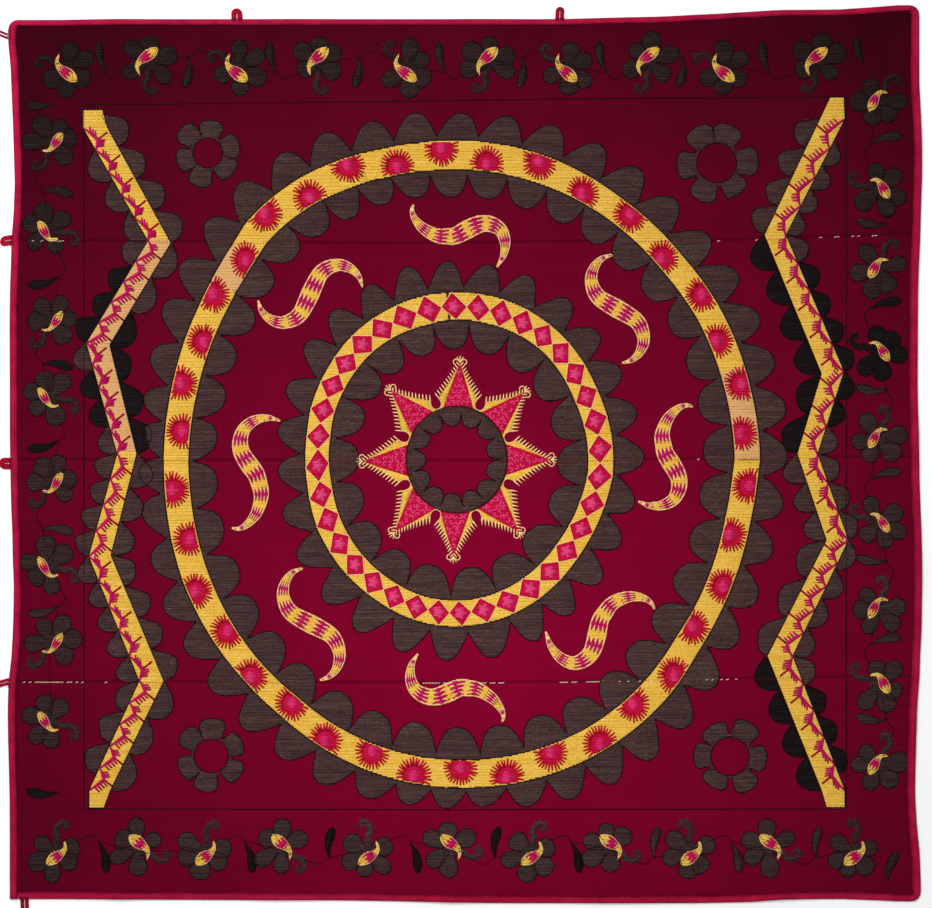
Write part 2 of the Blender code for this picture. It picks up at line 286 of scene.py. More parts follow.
def end_finish(tree, shader, colour, height, strength):
    """Gives the shader its colour and a bump of well under a millimetre."""
    bump = add(tree, "ShaderNodeBump", {"Strength": strength, "Distance": 0.0006, "Height": height})
    tree.links.new(colour, shader.inputs["Base Color"])
    tree.links.new(bump.outputs[0], shader.inputs["Normal"])


def grain(tree, place, size_mm, stretch=(1, 1, 1), rough=0.55):
    """A grain about so many millimetres wide, which a stretch under 1 draws out along an axis."""
    drawn_out = add(tree, "ShaderNodeMapping", {"Vector": place, "Scale": stretch}).outputs[0]
    scale = 1 / (size_mm * MM)
    return add(tree, "ShaderNodeTexNoise",
               {"Vector": drawn_out, "Scale": scale, "Detail": 3.0, "Roughness": rough}).outputs["Fac"]


def layered(tree, patterns):
    """The sum of several patterns, each with its share."""
    total = 0.0
    for pattern, share in patterns:
        added = add(tree, "ShaderNodeMath", {0: pattern, 1: share, 2: total}, operation="MULTIPLY_ADD")
        total = added.outputs[0]
    return total


def three_tones(tree, share, deep, middle, light):
    """A colour that runs through three dyes as the share runs from 0 to 1."""
    toned = add(tree, "ShaderNodeValToRGB", {"Fac": share})
    stops = toned.color_ramp.elements
    stops.new(0.5)
    for stop, dye in zip(stops, (deep, middle, light)):
        stop.color = linear(dye)
    return toned.outputs["Color"]


def fade_and_painted_shade(tree, place):
    """How far a spot is from the brightest one, up to 1 in the corners: the share of faded dye and painted shade
    there.
    """
    reach = add(tree, "ShaderNodeVectorMath", {0: place, 1: BRIGHTEST_SPOT}, operation="DISTANCE")
    return add(tree, "ShaderNodeMapRange", {"Value": reach.outputs["Value"], "From Max": FADED_AND_SHADED_AT}).outputs[0]


print("Silk roughness", SILK_ROUGHNESS, "and cotton roughness", COTTON_ROUGHNESS)

# %% [markdown]
# ## The ground cloth
# The ground is hand-loomed: a close warp and a thicker weft, which gives a fine rib across the width. It is
# brightest below the middle and turns darker toward the edges, partly where the dye has faded and partly as
# painted shade of the light falling off. It has soft cloudy patches of dye, and an uneven beat of the loom
# leaves faint level bands some 5 mm wide.

# %% Ground cloth finish
RIB_MM, BEAT_BAND_MM, CLOUD_MM = 1.5, 5.0, 180.0
LOOM_SHADES = (0.98, 1.0, 1.02, 1.0)


def ground_finish(name, shade):
    """Hand-loomed cotton. shade darkens or lightens one loom width."""
    material, tree, shader, place = start_finish(name, COTTON_ROUGHNESS)
    # Painted shade, partly real fading: darker with the distance from the brightest spot. The clouds are real dye
    # patches.
    far = fade_and_painted_shade(tree, place)
    clouds = grain(tree, place, CLOUD_MM)
    depth = layered(tree, ((far, 1.0), (clouds, 0.24)))
    depth = add(tree, "ShaderNodeMapRange", {"Value": depth, "From Min": 0.08, "From Max": 1.12}).outputs[0]
    dye = add(tree, "ShaderNodeMix", {0: depth, 6: linear("ground"), 7: linear("ground faded and shaded")},
              data_type="RGBA")
    bands = grain(tree, place, BEAT_BAND_MM, (0.03, 1, 1))
    weft = grain(tree, place, RIB_MM, (0.15, 1, 1))
    warp = grain(tree, place, RIB_MM * 2, (1, 0.08, 1))
    weave = layered(tree, ((bands, 0.35), (weft, 0.40), (warp, 0.25)))
    value = add(tree, "ShaderNodeMapRange", {"Value": weave, "From Min": 0.2, "From Max": 0.8,
                                             "To Min": 0.78 * shade, "To Max": 1.22 * shade}).outputs[0]
    colour = add(tree, "ShaderNodeHueSaturation", {"Value": value, "Color": dye.outputs[2]}).outputs[0]
    end_finish(tree, shader, colour, weave, 0.4)
    return material


GROUNDS = [ground_finish(f"hand_loomed_cotton_{k + 1}", shade) for k, shade in enumerate(LOOM_SHADES)]
print("Ground finishes:", len(GROUNDS))

# %% [markdown]
# ## The silks
# One builder makes every silk. Each thread carries a tone, a number between 0 and 1 from the dye lot and
# the twist, and the finish runs through a deep, a middle and a light dye by it, together with a speckle and
# long level streaks. A second number says how worn the patch is: where it is high, bare flecks of a paler
# core show through.

# %% Silk finishes
SILK_GRAIN_MM, STREAK_MM, WEAR_MM = 2.8, 4.0, 4.0
MIDDLE_TONE = 0.65
FULL_DARK = (0.0, 0.0, 0.0, 1.0)


def silk_finish(name, deep, middle, light, fade_and_shade_strength=0.3, wear=0.0, contrast=1.0, streaks=0.46):
    """Loosely spun silk in three tones of one dye."""
    material, tree, shader, place = start_finish(name, SILK_ROUGHNESS)
    tone = add(tree, "ShaderNodeAttribute", attribute_name="tone").outputs["Fac"]
    speckle = grain(tree, place, SILK_GRAIN_MM, (0.6, 1, 1), 0.7)
    streak = grain(tree, place, STREAK_MM, (0.12, 1, 1))
    mix = layered(tree, ((tone, 0.12), (speckle, 1.18 - streaks), (streak, streaks)))
    spread = 0.33 / contrast
    share = add(tree, "ShaderNodeMapRange",
                {"Value": mix, "From Min": MIDDLE_TONE - spread, "From Max": MIDDLE_TONE + spread})
    colour = three_tones(tree, share.outputs[0], deep, middle, light)
    if wear:
        worn = add(tree, "ShaderNodeAttribute", attribute_name="worn").outputs["Fac"]
        bare = grain(tree, place, WEAR_MM, (0.7, 1, 1), 0.7)
        bare = add(tree, "ShaderNodeMapRange",
                   {"Value": bare, "From Min": 0.58, "From Max": 0.70, "To Max": wear})
        bare = add(tree, "ShaderNodeMath", {0: bare.outputs[0], 1: worn}, operation="MULTIPLY").outputs[0]
        flecked = add(tree, "ShaderNodeMix", {0: bare, 6: colour, 7: linear("fleck")}, data_type="RGBA")
        colour = flecked.outputs[2]
    # Painted shade, partly real fading: each silk is darkened toward the corners with the ground, by its own
    # strength.
    dim = add(tree, "ShaderNodeMath", {0: fade_and_painted_shade(tree, place), 1: fade_and_shade_strength}, operation="MULTIPLY").outputs[0]
    dimmed = add(tree, "ShaderNodeMix", {0: dim, 6: colour, 7: FULL_DARK}, data_type="RGBA")
    end_finish(tree, shader, dimmed.outputs[2], speckle, 0.3)
    return material


# The fourth number, where it is given, is how strongly a silk is darkened toward the corners, partly faded dye
# and partly painted shade; otherwise it is 0.3.
SILKS = {
    "brown": silk_finish("walnut_brown_silk", "brown deep", "brown", "brown light", 0.4, wear=0.3,
                         contrast=1.2),
    "dark brown": silk_finish("dark_walnut_silk", "dark brown deep", "dark brown", "dark brown light", 0.80,
                              contrast=1.2),
    "black": silk_finish("black_silk", "outline", "black", "black light"),
    "outline": silk_finish("blackened_outline_silk", "outline", "outline", "black"),
    "yellow": silk_finish("golden_yellow_silk", "yellow deep", "yellow", "yellow light", contrast=1.2,
                          streaks=0.12),
    "sand": silk_finish("faded_sand_silk", "sand deep", "sand", "sand light", streaks=0.12),
    "edging": silk_finish("pale_edging_silk", "yellow", "edging", "edging"),
    "crimson": silk_finish("crimson_silk", "crimson deep", "crimson", "pink", contrast=0.8),
    "pink": silk_finish("pink_silk", "crimson", "pink", "pink light"),
    "magenta": silk_finish("magenta_silk", "magenta deep", "magenta", "pink"),
    "red": silk_finish("scarlet_silk", "red deep", "red", "crimson", contrast=0.8),
    "orchid": silk_finish("orchid_pink_silk", "pink", "orchid", "pink light", contrast=0.8),
    "tick": silk_finish("dark_crimson_silk", "magenta deep", "red deep", "red"),
    "seam red": silk_finish("ground_sewing_thread", "ground", "ground", "ground", 0.66),
    "seam pale": silk_finish("pale_sewing_thread", "edging", "pale thread", "pale thread"),
    "vine": silk_finish("thin_vine_silk", "ground faded and shaded", "outline", "ground faded and shaded"),
}
YARN_NAMES = list(SILKS)
print("Silks:", ", ".join(YARN_NAMES))

# %% [markdown]
# ## Making threads
# A thread on cloth is a low ridge: flat below, round above, pinched where it goes through. Curves with a
# bevel would give round tubes with far too many faces, so each thread is swept here as a three-sided ridge
# and shaded smooth, which reads as round. Laid work is many level threads side by side inside an outline.
# Chain stitch is one ridge that swells and narrows at every link. A straight stitch tapers to its end.

# %% The thread kit
LAID_PITCH, LAID_RISE = 3.6, 0.4
FIRST_LAYER, SECOND_LAYER, THIRD_LAYER = 0.0, 0.45, 0.9
STATION_STEP, CLOSE_ENOUGH = 28.0, 0.12
LINK_MM = 8.0
SUNK = -0.1


@lru_cache(maxsize=None)
def ridge_faces(count):
    """The triangles of a ridge with so many stations, each of a left, a crown and a right point."""
    faces = []
    for k in range(count - 1):
        left, crown, right = 3 * k, 3 * k + 1, 3 * k + 2
        for a, b in ((left, crown), (crown, right), (right, left)):
            faces += [(a, b, b + 3), (a, b + 3, a + 3)]
    last = 3 * (count - 1)
    return np.array(faces + [(0, 2, 1), (last, last + 1, last + 2)])


def resampled(path, step, closed=False):
    """The path as points an even step apart, an even number of steps if it is closed."""
    path = np.asarray(path, float)
    if closed:
        path = np.vstack((path, path[:1]))
    run = np.concatenate(([0.0], np.cumsum(np.linalg.norm(np.diff(path, axis=0), axis=1))))
    count = max(2, 2 * round(run[-1] / step / 2))
    spots = np.linspace(0, run[-1], count + 1)
    return np.column_stack([np.interp(spots, run, path[:, k]) for k in (0, 1)])


def curved(points, steps=6, closed=False):
    """A smooth line through given points."""
    p = np.asarray(points, float)
    ends = (p[-1:], p[:2]) if closed else (2 * p[:1] - p[1:2], 2 * p[-1:] - p[-2:-1])
    ring = np.vstack((ends[0], p, ends[1]))
    t = np.linspace(0, 1, steps, endpoint=False)[:, None]
    parts = []
    for a, b, c, d in zip(ring, ring[1:], ring[2:], ring[3:]):
        parts.append(b + 0.5 * t * (c - a + t * (2 * a - 5 * b + 4 * c - d + t * (3 * (b - c) + d - a))))
    return np.vstack(parts) if closed else np.vstack(parts + [p[-1:]])


def headings(path):
    """The unit ways along a path and across it, to its left, at each of its points."""
    along = np.gradient(path, axis=0)
    along /= np.maximum(np.hypot(along[:, :1], along[:, 1:]), 1e-9)
    return along, np.column_stack((-along[:, 1], along[:, 0]))


def facing(turn):
    """The unit way that a clockwise turn in degrees faces, and the way to its right."""
    ahead = np.array([math.sin(math.radians(turn)), math.cos(math.radians(turn))])
    return ahead, np.array([ahead[1], -ahead[0]])


def round_line(centre, radius, step):
    """Points round a circle, so many degrees apart."""
    turns = np.radians(np.arange(0, 360, step))
    return centre + radius * np.column_stack((np.cos(turns), np.sin(turns)))


class Stitching:
    """Gathers the raised threads of one piece, which all follow the cloth."""

    def __init__(self, seed):
        self.luck = random.Random(seed)
        self.places, self.rises, self.tones, self.wears, self.faces, self.yarns = [], [], [], [], [], []
        self.count = 0

    def thread(self, path, half_width, rise, yarn, base=SUNK, tone=None, worn=0.0):
        """Adds one ridge along a path in millimetres, with its half width and rise at each point."""
        path = np.asarray(path, float)
        n = len(path)
        across = headings(path)[1] * np.broadcast_to(half_width, n)[:, None]
        self.places.append(np.stack((path + across, path, path - across), axis=1).reshape(-1, 2))
        lifts = np.full((n, 3), base, float)
        lifts[:, 1] += np.broadcast_to(rise, n)
        self.rises.append(lifts.ravel())
        self.tones.append(np.full(3 * n, self.luck.random() if tone is None else tone))
        self.wears.append(np.full(3 * n, worn))
        faces = ridge_faces(n)
        self.faces.append(faces + self.count)
        self.yarns.append(np.full(len(faces), YARN_NAMES.index(yarn)))
        self.count += 3 * n

    def strand(self, left, right, level, yarn, rise, base, worn, pitch):
        """One level laid thread."""
        length = right - left
        dip = length / 2 if length < STATION_STEP else 1.8
        inner = np.linspace(left + dip, right - dip, int(length / STATION_STEP) + 1)
        for finer in (1, 2, 3):
            halfway = (inner[1:] + inner[:-1]) / 2
            low, high = lie(inner, level), lie(halfway, level)
            if len(halfway) == 0 or np.abs(high - (low[1:] + low[:-1]) / 2).max() < CLOSE_ENOUGH / finer:
                break
            inner = np.linspace(inner[0], inner[-1], 2 * len(inner) - 1)
        xs = np.concatenate(([left], inner, [right]))
        n = len(xs)
        drift = 0.10 * pitch * np.sin(xs / 29 + level)
        width = np.full(n, 0.8 * pitch)
        width[[0, -1]] *= 0.55
        lift = np.full(n, rise)
        lift[[0, -1]] *= 0.5
        self.thread(np.column_stack((xs, level + drift)), width, lift, yarn, base, None, worn)

    def fill(self, loops, yarn, base=FIRST_LAYER, worn=0.0, pitch=LAID_PITCH, rise=LAID_RISE):
        """Lays level threads inside closed outlines."""
        loops = [np.asarray(loop, float) for loop in loops]
        start = np.vstack(loops)
        end = np.vstack([np.roll(loop, -1, axis=0) for loop in loops])
        rows = np.arange(math.ceil(start[:, 1].min() / pitch), math.floor(start[:, 1].max() / pitch) + 1)
        for row in rows:
            level = row * pitch + 0.15 * pitch * math.sin(row * 12.9)
            hit = (start[:, 1] <= level) != (end[:, 1] <= level)
            a, b = start[hit], end[hit]
            xs = np.sort(a[:, 0] + (level - a[:, 1]) * (b[:, 0] - a[:, 0]) / (b[:, 1] - a[:, 1]))
            for left, right in zip(xs[::2], xs[1::2]):
                if right - left > 1.2:
                    self.strand(left, right, level, yarn, rise, base, worn, pitch)

    def chain(self, path, yarn="outline", width=4.0, link=LINK_MM, closed=False, rise=1.5, base=SUNK):
        """A chain-stitched line, which swells and narrows at every link."""
        path = resampled(path, link / 2, closed)
        wide = np.arange(len(path)) % 2 == 0
        widths, rises = np.where(wide, width * 0.32, width * 0.5), np.where(wide, rise * 0.7, rise)
        self.thread(path, widths, rises, yarn, base)

    def straight(self, start, end, yarn, width=3.0, tip=0.35, rise=1.3, base=SUNK, bend=0.0):
        """A straight stitch that tapers from its root to its tip, and may bend a little."""
        start, end = np.asarray(start, float), np.asarray(end, float)
        side = np.array([start[1] - end[1], end[0] - start[0]]) * bend
        path = np.vstack((start, (start + end) / 2 + side, end))
        widths, rises = np.array([0.5, 0.42, 0.5 * tip]) * width, np.array([0.8, 1.0, 0.4]) * rise
        self.thread(path, widths, rises, yarn, base)

    def piece(self, name):
        """Builds the mesh, with its silks, and lays it on the cloth."""
        places, rises = np.vstack(self.places), np.concatenate(self.rises)
        points = np.column_stack((places, lie(places[:, 0], places[:, 1]) + rises)) * MM
        thing = solid_from(name, points, np.vstack(self.faces))
        for attribute, values in (("tone", self.tones), ("worn", self.wears)):
            layer = thing.data.attributes.new(attribute, "FLOAT", "POINT")
            layer.data.foreach_set("value", np.concatenate(values))
        yarns = np.concatenate(self.yarns)
        used = sorted(set(yarns.tolist()))
        for number_ in used:
            thing.data.materials.append(SILKS[YARN_NAMES[number_]])
        thing.data.polygons.foreach_set("material_index", np.searchsorted(used, yarns))
        dress(thing)
        return thing


def solid_from(name, points, faces):
    """A smooth-shaded mesh object from points in metres and triangles."""
    mesh = bpy.data.meshes.new(name)
    mesh.vertices.add(len(points))
    mesh.vertices.foreach_set("co", np.asarray(points, np.float32).ravel())
    mesh.loops.add(3 * len(faces))
    mesh.loops.foreach_set("vertex_index", np.asarray(faces, np.int32).ravel())
    mesh.polygons.add(len(faces))
    mesh.polygons.foreach_set("loop_start", np.arange(0, 3 * len(faces), 3, dtype=np.int32))
    mesh.update(calc_edges=True)
    mesh.shade_smooth()
    thing = bpy.data.objects.new(name, mesh)
    bpy.context.scene.collection.objects.link(thing)
    return thing


TALLY = {}


def dress(thing):
    """Fixes a piece to the hanging's one body."""
    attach(thing, "root")
    TALLY[thing.name] = len(thing.data.polygons)
    print(f"{thing.name}: {TALLY[thing.name]} triangles")


# %% [markdown]
# ## The four cloths
# Each loom width is its own sheet, as on the real thing, so its dye can differ a little and its edges can
# meet in a seam. A sheet is a grid of points on the upper face, the same grid a thread's thickness lower,
# and a rim that joins the two, so it is closed and printable. It stops a little inside the binding.

# %% Lay the cloths
CLOTH_STEP = 10.0
UNDER_BINDING = 6.0
SEAM_HALF_GAP = 0.06


def cloth_grid(index):
    """The plan of one cloth: a grid between its two side edges and its two long edges."""
    columns = int((RIGHT_EDGE[0] - LEFT_EDGE[0]) / CLOTH_STEP)
    above = TOP_EDGE if index == 0 else SEAM_LINES[index - 1]
    below = BOTTOM_EDGE if index == 3 else SEAM_LINES[index]
    inset_above = UNDER_BINDING if index == 0 else SEAM_HALF_GAP
    inset_below = UNDER_BINDING if index == 3 else SEAM_HALF_GAP
    rows = int(530 / CLOTH_STEP)
    across, up = np.meshgrid(np.linspace(0, 1, columns + 1), np.linspace(0, 1, rows + 1))
    x = np.zeros_like(across)
    for _ in range(4):
        low = np.interp(x, EDGE_X, below) + inset_below
        y = low + (np.interp(x, EDGE_X, above) - inset_above - low) * up
        left = np.interp(y, EDGE_Y, LEFT_EDGE) + UNDER_BINDING
        x = left + (np.interp(y, EDGE_Y, RIGHT_EDGE) - UNDER_BINDING - left) * across
    return x, y


def sheet_faces(rows, columns):
    """The triangles of two stacked grids and the rim between them."""
    ids = np.arange((rows + 1) * (columns + 1)).reshape(rows + 1, columns + 1)
    below = ids + ids.size
    a, b, c, d = ids[:-1, :-1], ids[:-1, 1:], ids[1:, 1:], ids[1:, :-1]
    top = [np.stack(three, -1).reshape(-1, 3) for three in ((a, b, c), (a, c, d))]
    bottom = [three[:, ::-1] + ids.size for three in top]
    rim = np.concatenate((ids[0, :-1], ids[:-1, -1], ids[-1, :0:-1], ids[:0:-1, 0]))
    ahead = np.roll(rim, -1)
    sides = [np.stack(three, -1) for three in ((rim, rim + ids.size, ahead + ids.size),
                                               (rim, ahead + ids.size, ahead))]
    return np.vstack(top + bottom + sides)


def lay_cloth(index):
    """One closed sheet of ground cloth."""
    x, y = cloth_grid(index)
    upper = lie(x, y)
    points = np.vstack([np.column_stack((x.ravel(), y.ravel(), (upper - drop).ravel()))
                        for drop in (0.0, CLOTH_THICKNESS)])
    faces = sheet_faces(x.shape[0] - 1, x.shape[1] - 1)
    cloth = solid_from(f"cloth_{index + 1}", points * MM, faces)
    cloth.data.materials.append(GROUNDS[index])
    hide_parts(PANELS[index])
    dress(cloth)
    return cloth


CLOTHS = [lay_cloth(index) for index in range(4)]

# %% [markdown]
# ## The binding
# The raw edge is bound with a strip of raspberry cotton, folded over it and sewn through. It is swept here
# as a flat C round the whole outline, in four lengths like the solids: the outer fold is round, the upper
# leaf is a little wavy along its inner edge, and it lifts between the stitches that hold it down.

# %% Binding finish and sweep
BINDING_STEP = 9.0
CORNER_RADIUS = 20.0
FOLD_OUT = 2.0
LEAF_WIDTHS = {"left": 17.0, "top": 13.0, "right": 19.0, "bottom": 16.0}


def tape_finish(name, deep, middle, light):
    """Plain-woven cotton tape with a cloudy grain, darkened along its rims with painted shade."""
    material, tree, shader, place = start_finish(name, TAPE_ROUGHNESS)
    threads = grain(tree, place, 2.2, (1, 1, 1), 0.7)
    cloud = grain(tree, place, 45.0)
    edge = add(tree, "ShaderNodeAttribute", attribute_name="edge").outputs["Fac"]
    # Painted shade: the tape is darker where the edge attribute is high, along its folded rims.
    mix = layered(tree, ((threads, 0.5), (cloud, 0.6), (edge, -0.5)))
    share = add(tree, "ShaderNodeMapRange", {"Value": mix, "From Min": 0.15, "From Max": 0.9}).outputs[0]
    end_finish(tree, shader, three_tones(tree, share, deep, middle, light), threads, 0.5)
    return material


BINDING_TAPE = tape_finish("raspberry_cotton_tape", "binding deep", "binding", "binding light")
LOOP_TAPE = tape_finish("red_cotton_loop_tape", "loop deep", "loop", "binding")


def side_line(name):
    """The raw edge along one side, clockwise, with half of each rounded corner."""
    ys = np.arange(EDGE_Y[0], EDGE_Y[-1], BINDING_STEP)
    xs = np.arange(EDGE_X[0], EDGE_X[-1], BINDING_STEP)
    lines = {
        "left": np.column_stack((np.interp(ys, EDGE_Y, LEFT_EDGE), ys)),
        "top": np.column_stack((xs, np.interp(xs, EDGE_X, TOP_EDGE))),
        "right": np.column_stack((np.interp(ys, EDGE_Y, RIGHT_EDGE), ys))[::-1],
        "bottom": np.column_stack((xs, np.interp(xs, EDGE_X, BOTTOM_EDGE)))[::-1],
    }
    return lines[name]


def corner_arc(centre, start_turn):
    """Points round a quarter of a corner, clockwise from a turn in degrees."""
    turns = np.radians(start_turn - np.linspace(0, 90, 9))
    return np.asarray(centre) + CORNER_RADIUS * np.column_stack((np.cos(turns), np.sin(turns)))


def bound_lines():
    """The whole outline in four lengths that meet at the middle of each rounded corner."""
    left, top, right, bottom = (side_line(name) for name in ("left", "top", "right", "bottom"))
    r = CORNER_RADIUS
    corners = {
        "top left": corner_arc((left[-1, 0] + r, top[0, 1] - r), 180),
        "top right": corner_arc((right[0, 0] - r, top[-1, 1] - r), 90),
        "bottom right": corner_arc((right[-1, 0] - r, bottom[0, 1] + r), 0),
    }
    foot = np.array([[left[0, 0], bottom[-1, 1] - FOLD_OUT]])
    over = np.array([[left[0, 0] + LEAF_WIDTHS["left"] + 0.4, bottom[-1, 1]]])
    return {
        "left": np.vstack((foot, left, corners["top left"][:5])),
        "top": np.vstack((corners["top left"][4:], top, corners["top right"][:5])),
        "right": np.vstack((corners["top right"][4:], right, corners["bottom right"][:5])),
        "bottom": np.vstack((corners["bottom right"][4:], bottom, over)),
    }


def tape_section(leaf):
    """The flat C of the folded tape: way out from the raw edge, height, and how near it is to a rim, which sets
    the tape's painted shade.
    """
    return np.array([
        (-leaf, 2.95, 1.0), (-leaf + 0.4, 3.45, 1.0), (-leaf + 2.0, 3.62, 0.5), (-leaf / 2, 3.70, 0.0),
        (-2.5, 3.66, 0.0), (0.2, 3.40, 0.2), (1.5, 2.70, 0.6), (2.0, 1.80, 1.0), (1.5, 0.90, 0.6),
        (0.2, 0.20, 0.2), (-2.5, 0.0, 0.0), (-14.5, 0.0, 1.0), (-14.5, 0.7, 1.0), (-2.0, 0.75, 0.0),
        (-0.6, 1.80, 0.0), (-2.0, 2.85, 0.0),
    ])


def bind(name, line):
    """Sweeps the folded tape along one length of the edge."""
    line = resampled(line, BINDING_STEP)
    out = headings(line)[1]
    run = np.arange(len(line)) * BINDING_STEP
    section = tape_section(LEAF_WIDTHS[name])
    inner = np.clip(-(section[:, 0] + 6) / 8, 0, 1) * (section[:, 1] > 2)
    wave = 0.7 * np.sin(run / 37 + 1.3 * np.sin(run / 71)) + 0.35 * np.sin(run / 13.0)
    puff = 0.16 * np.sin(run / 9.0) + 0.12 * np.sin(run / 23.0)
    ways = section[None, :, 0] + wave[:, None] * inner[None, :]
    base = np.maximum(lie(line[:, 0], line[:, 1]) - LEAF_BELOW_CLOTH, 0.0)
    raised = section[None, :, 1] + puff[:, None] * (section[None, :, 1] > 3.5)
    inner_spots = line[:, None, :] + ways[..., None] * out[:, None, :]
    points = np.dstack((inner_spots, base[:, None] + raised)).reshape(-1, 3)
    n, m = len(line), len(section)
    ids = np.arange(n * m).reshape(n, m)
    ahead = np.roll(ids, -1, axis=1)
    a, b, c, d = ids[:-1], ahead[:-1], ahead[1:], ids[1:]
    faces = [np.stack(three, -1).reshape(-1, 3) for three in ((a, b, c), (a, c, d))]
    half = range(m // 2 - 1)
    caps = np.array([(k, k + 1, m - 1 - k) for k in half] + [(k + 1, m - 2 - k, m - 1 - k) for k in half])
    tape = solid_from(f"tape_{name}", points * MM, np.vstack(faces + [caps[:, ::-1], caps + (n - 1) * m]))
    # How near each point is to a rim, which darkens the tape there as painted shade.
    layer = tape.data.attributes.new("edge", "FLOAT", "POINT")
    layer.data.foreach_set("value", np.tile(section[:, 2], n))
    tape.data.materials.append(BINDING_TAPE)
    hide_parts(f"binding_{name}")
    dress(tape)
    return tape


BOUND = bound_lines()
TAPES = [bind(name, line) for name, line in BOUND.items()]

# %% [markdown]
# ## The hanging loops
# Seven loops of folded tape are left round the edge, flattened by years on pegs. The solids already have
# the right outline, so each loop starts as a copy of its solid whose edges are rounded with a bevel, and
# gets a row of whip stitches where it is caught into the binding.

# %% Loops
LOOP_NODES = [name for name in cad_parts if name.startswith("loop_")]
LOOP_ROUNDING = 0.5


def soft_loop(node):
    """A copy of a loop's solid with its edges rounded."""
    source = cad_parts[node]
    mesh = source.data.copy()
    loop = bpy.data.objects.new("tape_" + node, mesh)
    bpy.context.scene.collection.objects.link(loop)
    mesh.materials.clear()
    mesh.materials.append(LOOP_TAPE)
    weld = loop.modifiers.new("Weld", "WELD")
    weld.merge_threshold = 0.00002
    bevel = loop.modifiers.new("Rounded edges", "BEVEL")
    bevel.width = LOOP_ROUNDING * MM
    bevel.segments = 3
    bevel.limit_method = "ANGLE"
    bevel.angle_limit = math.radians(40)
    mesh.shade_smooth()
    layer = mesh.attributes.new("edge", "FLOAT", "POINT")
    layer.data.foreach_set("value", np.full(len(mesh.vertices), 0.4))
    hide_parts(node)
    dress(loop)
    return loop


LOOPS = [soft_loop(node) for node in LOOP_NODES]

# %% [markdown]
# ## Floor, light and camera
# The hanging lies on a plain pale floor, seen from straight above as in the photograph. A world of soft
# white light fills it evenly, and one large lamp from the upper left gives the threads their small shadows.

# %% Stage
VIEW_WIDTH = 2.2368
VIEW_CENTRE = (0.0096, 0.0216)
CAMERA_HEIGHT = 5.0
SENSOR_MM = 36.0
ROOM_STRENGTH, LAMP_WATTS = 0.68, 250.0
LAMP_PLACE = (-2.6, 3.4, 3.6)
FLOOR_GREY = (0.93, 0.93, 0.93, 1.0)


def lay_floor():
    """A plain pale floor with a barely visible grain."""
    bpy.ops.mesh.primitive_plane_add(size=30, location=(0, 0, -0.0002))
    floor = bpy.context.object
    floor.name = "floor"
    material, tree, shader, place = start_finish("matte_white_board", 0.9)
    cloud = grain(tree, place, 400.0)
    pale = add(tree, "ShaderNodeMix", {0: cloud, 6: linear("floor"), 7: FLOOR_GREY}, data_type="RGBA")
    end_finish(tree, shader, pale.outputs[2], cloud, 0.02)
    floor.data.materials.append(material)
    return floor


def set_camera():
    """A camera straight above, framed as the photograph is."""
    data = bpy.data.cameras.new("camera")
    data.sensor_width = SENSOR_MM
    data.lens = SENSOR_MM * CAMERA_HEIGHT / VIEW_WIDTH
    camera = bpy.data.objects.new("camera", data)
    camera.location = (*VIEW_CENTRE, CAMERA_HEIGHT)
    bpy.context.scene.collection.objects.link(camera)
    bpy.context.scene.camera = camera
    return camera


def soft_light():
    """Even white surroundings and one large lamp."""
    world = bpy.data.worlds.new("soft_white_room")
    world.use_nodes = True
    world.node_tree.nodes["Background"].inputs["Color"].default_value = (1.0, 1.0, 1.0, 1.0)
    world.node_tree.nodes["Background"].inputs["Strength"].default_value = ROOM_STRENGTH
    bpy.context.scene.world = world
    data = bpy.data.lights.new("window", "AREA")
    data.shape = "RECTANGLE"
    data.size, data.size_y = 3.0, 2.0
    data.energy = LAMP_WATTS
    lamp = bpy.data.objects.new("window", data)
    lamp.location = LAMP_PLACE
    lamp.rotation_euler = (Vector((0, 0, 0)) - lamp.location).to_track_quat("-Z", "Y").to_euler()
    bpy.context.scene.collection.objects.link(lamp)
    bpy.context.scene.view_settings.view_transform = "Standard"


lay_floor()
CAMERA = set_camera()
soft_light()
print("Camera lens", round(CAMERA.data.lens, 1), "mm")

# %% [markdown]
# ## Ovals
# Both rings of the medallion are ovals drawn by eye, a little taller than wide. An oval is kept as its
# middle, its two radii and a few readings of how far its drawn edge strays, so that anything on a ring is
# placed by two numbers: a turn in degrees clockwise from the top, and a distance out from the edge.

# %% Rings
class Oval:
    """A hand-drawn oval band. Distances are in millimetres out from its outer edge."""

    def __init__(self, x, y, across, up, strays, widths):
        self.x, self.y, self.across, self.up = x, y, across, up
        self.strays, self.widths = np.array(strays, float), np.array(widths, float)

    def at(self, angle, out):
        """The point at a turn and a distance out from the outer edge."""
        angle = np.asarray(angle, float)
        stray = np.interp(angle % 360, self.strays[:, 0], self.strays[:, 1], period=360)
        a = np.radians(angle)
        out = np.asarray(out, float) + stray
        return np.stack((self.x + (self.across + out) * np.sin(a), self.y + (self.up + out) * np.cos(a)), -1)

    def width(self, angle):
        """How wide the band is at a turn."""
        return np.interp(np.asarray(angle, float) % 360, self.widths[:, 0], self.widths[:, 1], period=360)

    def per_degree(self, angle):
        """Millimetres along the edge for each degree."""
        here, there = self.at(angle - 0.5, 0.0), self.at(angle + 0.5, 0.0)
        return float(np.hypot(*(there - here)))


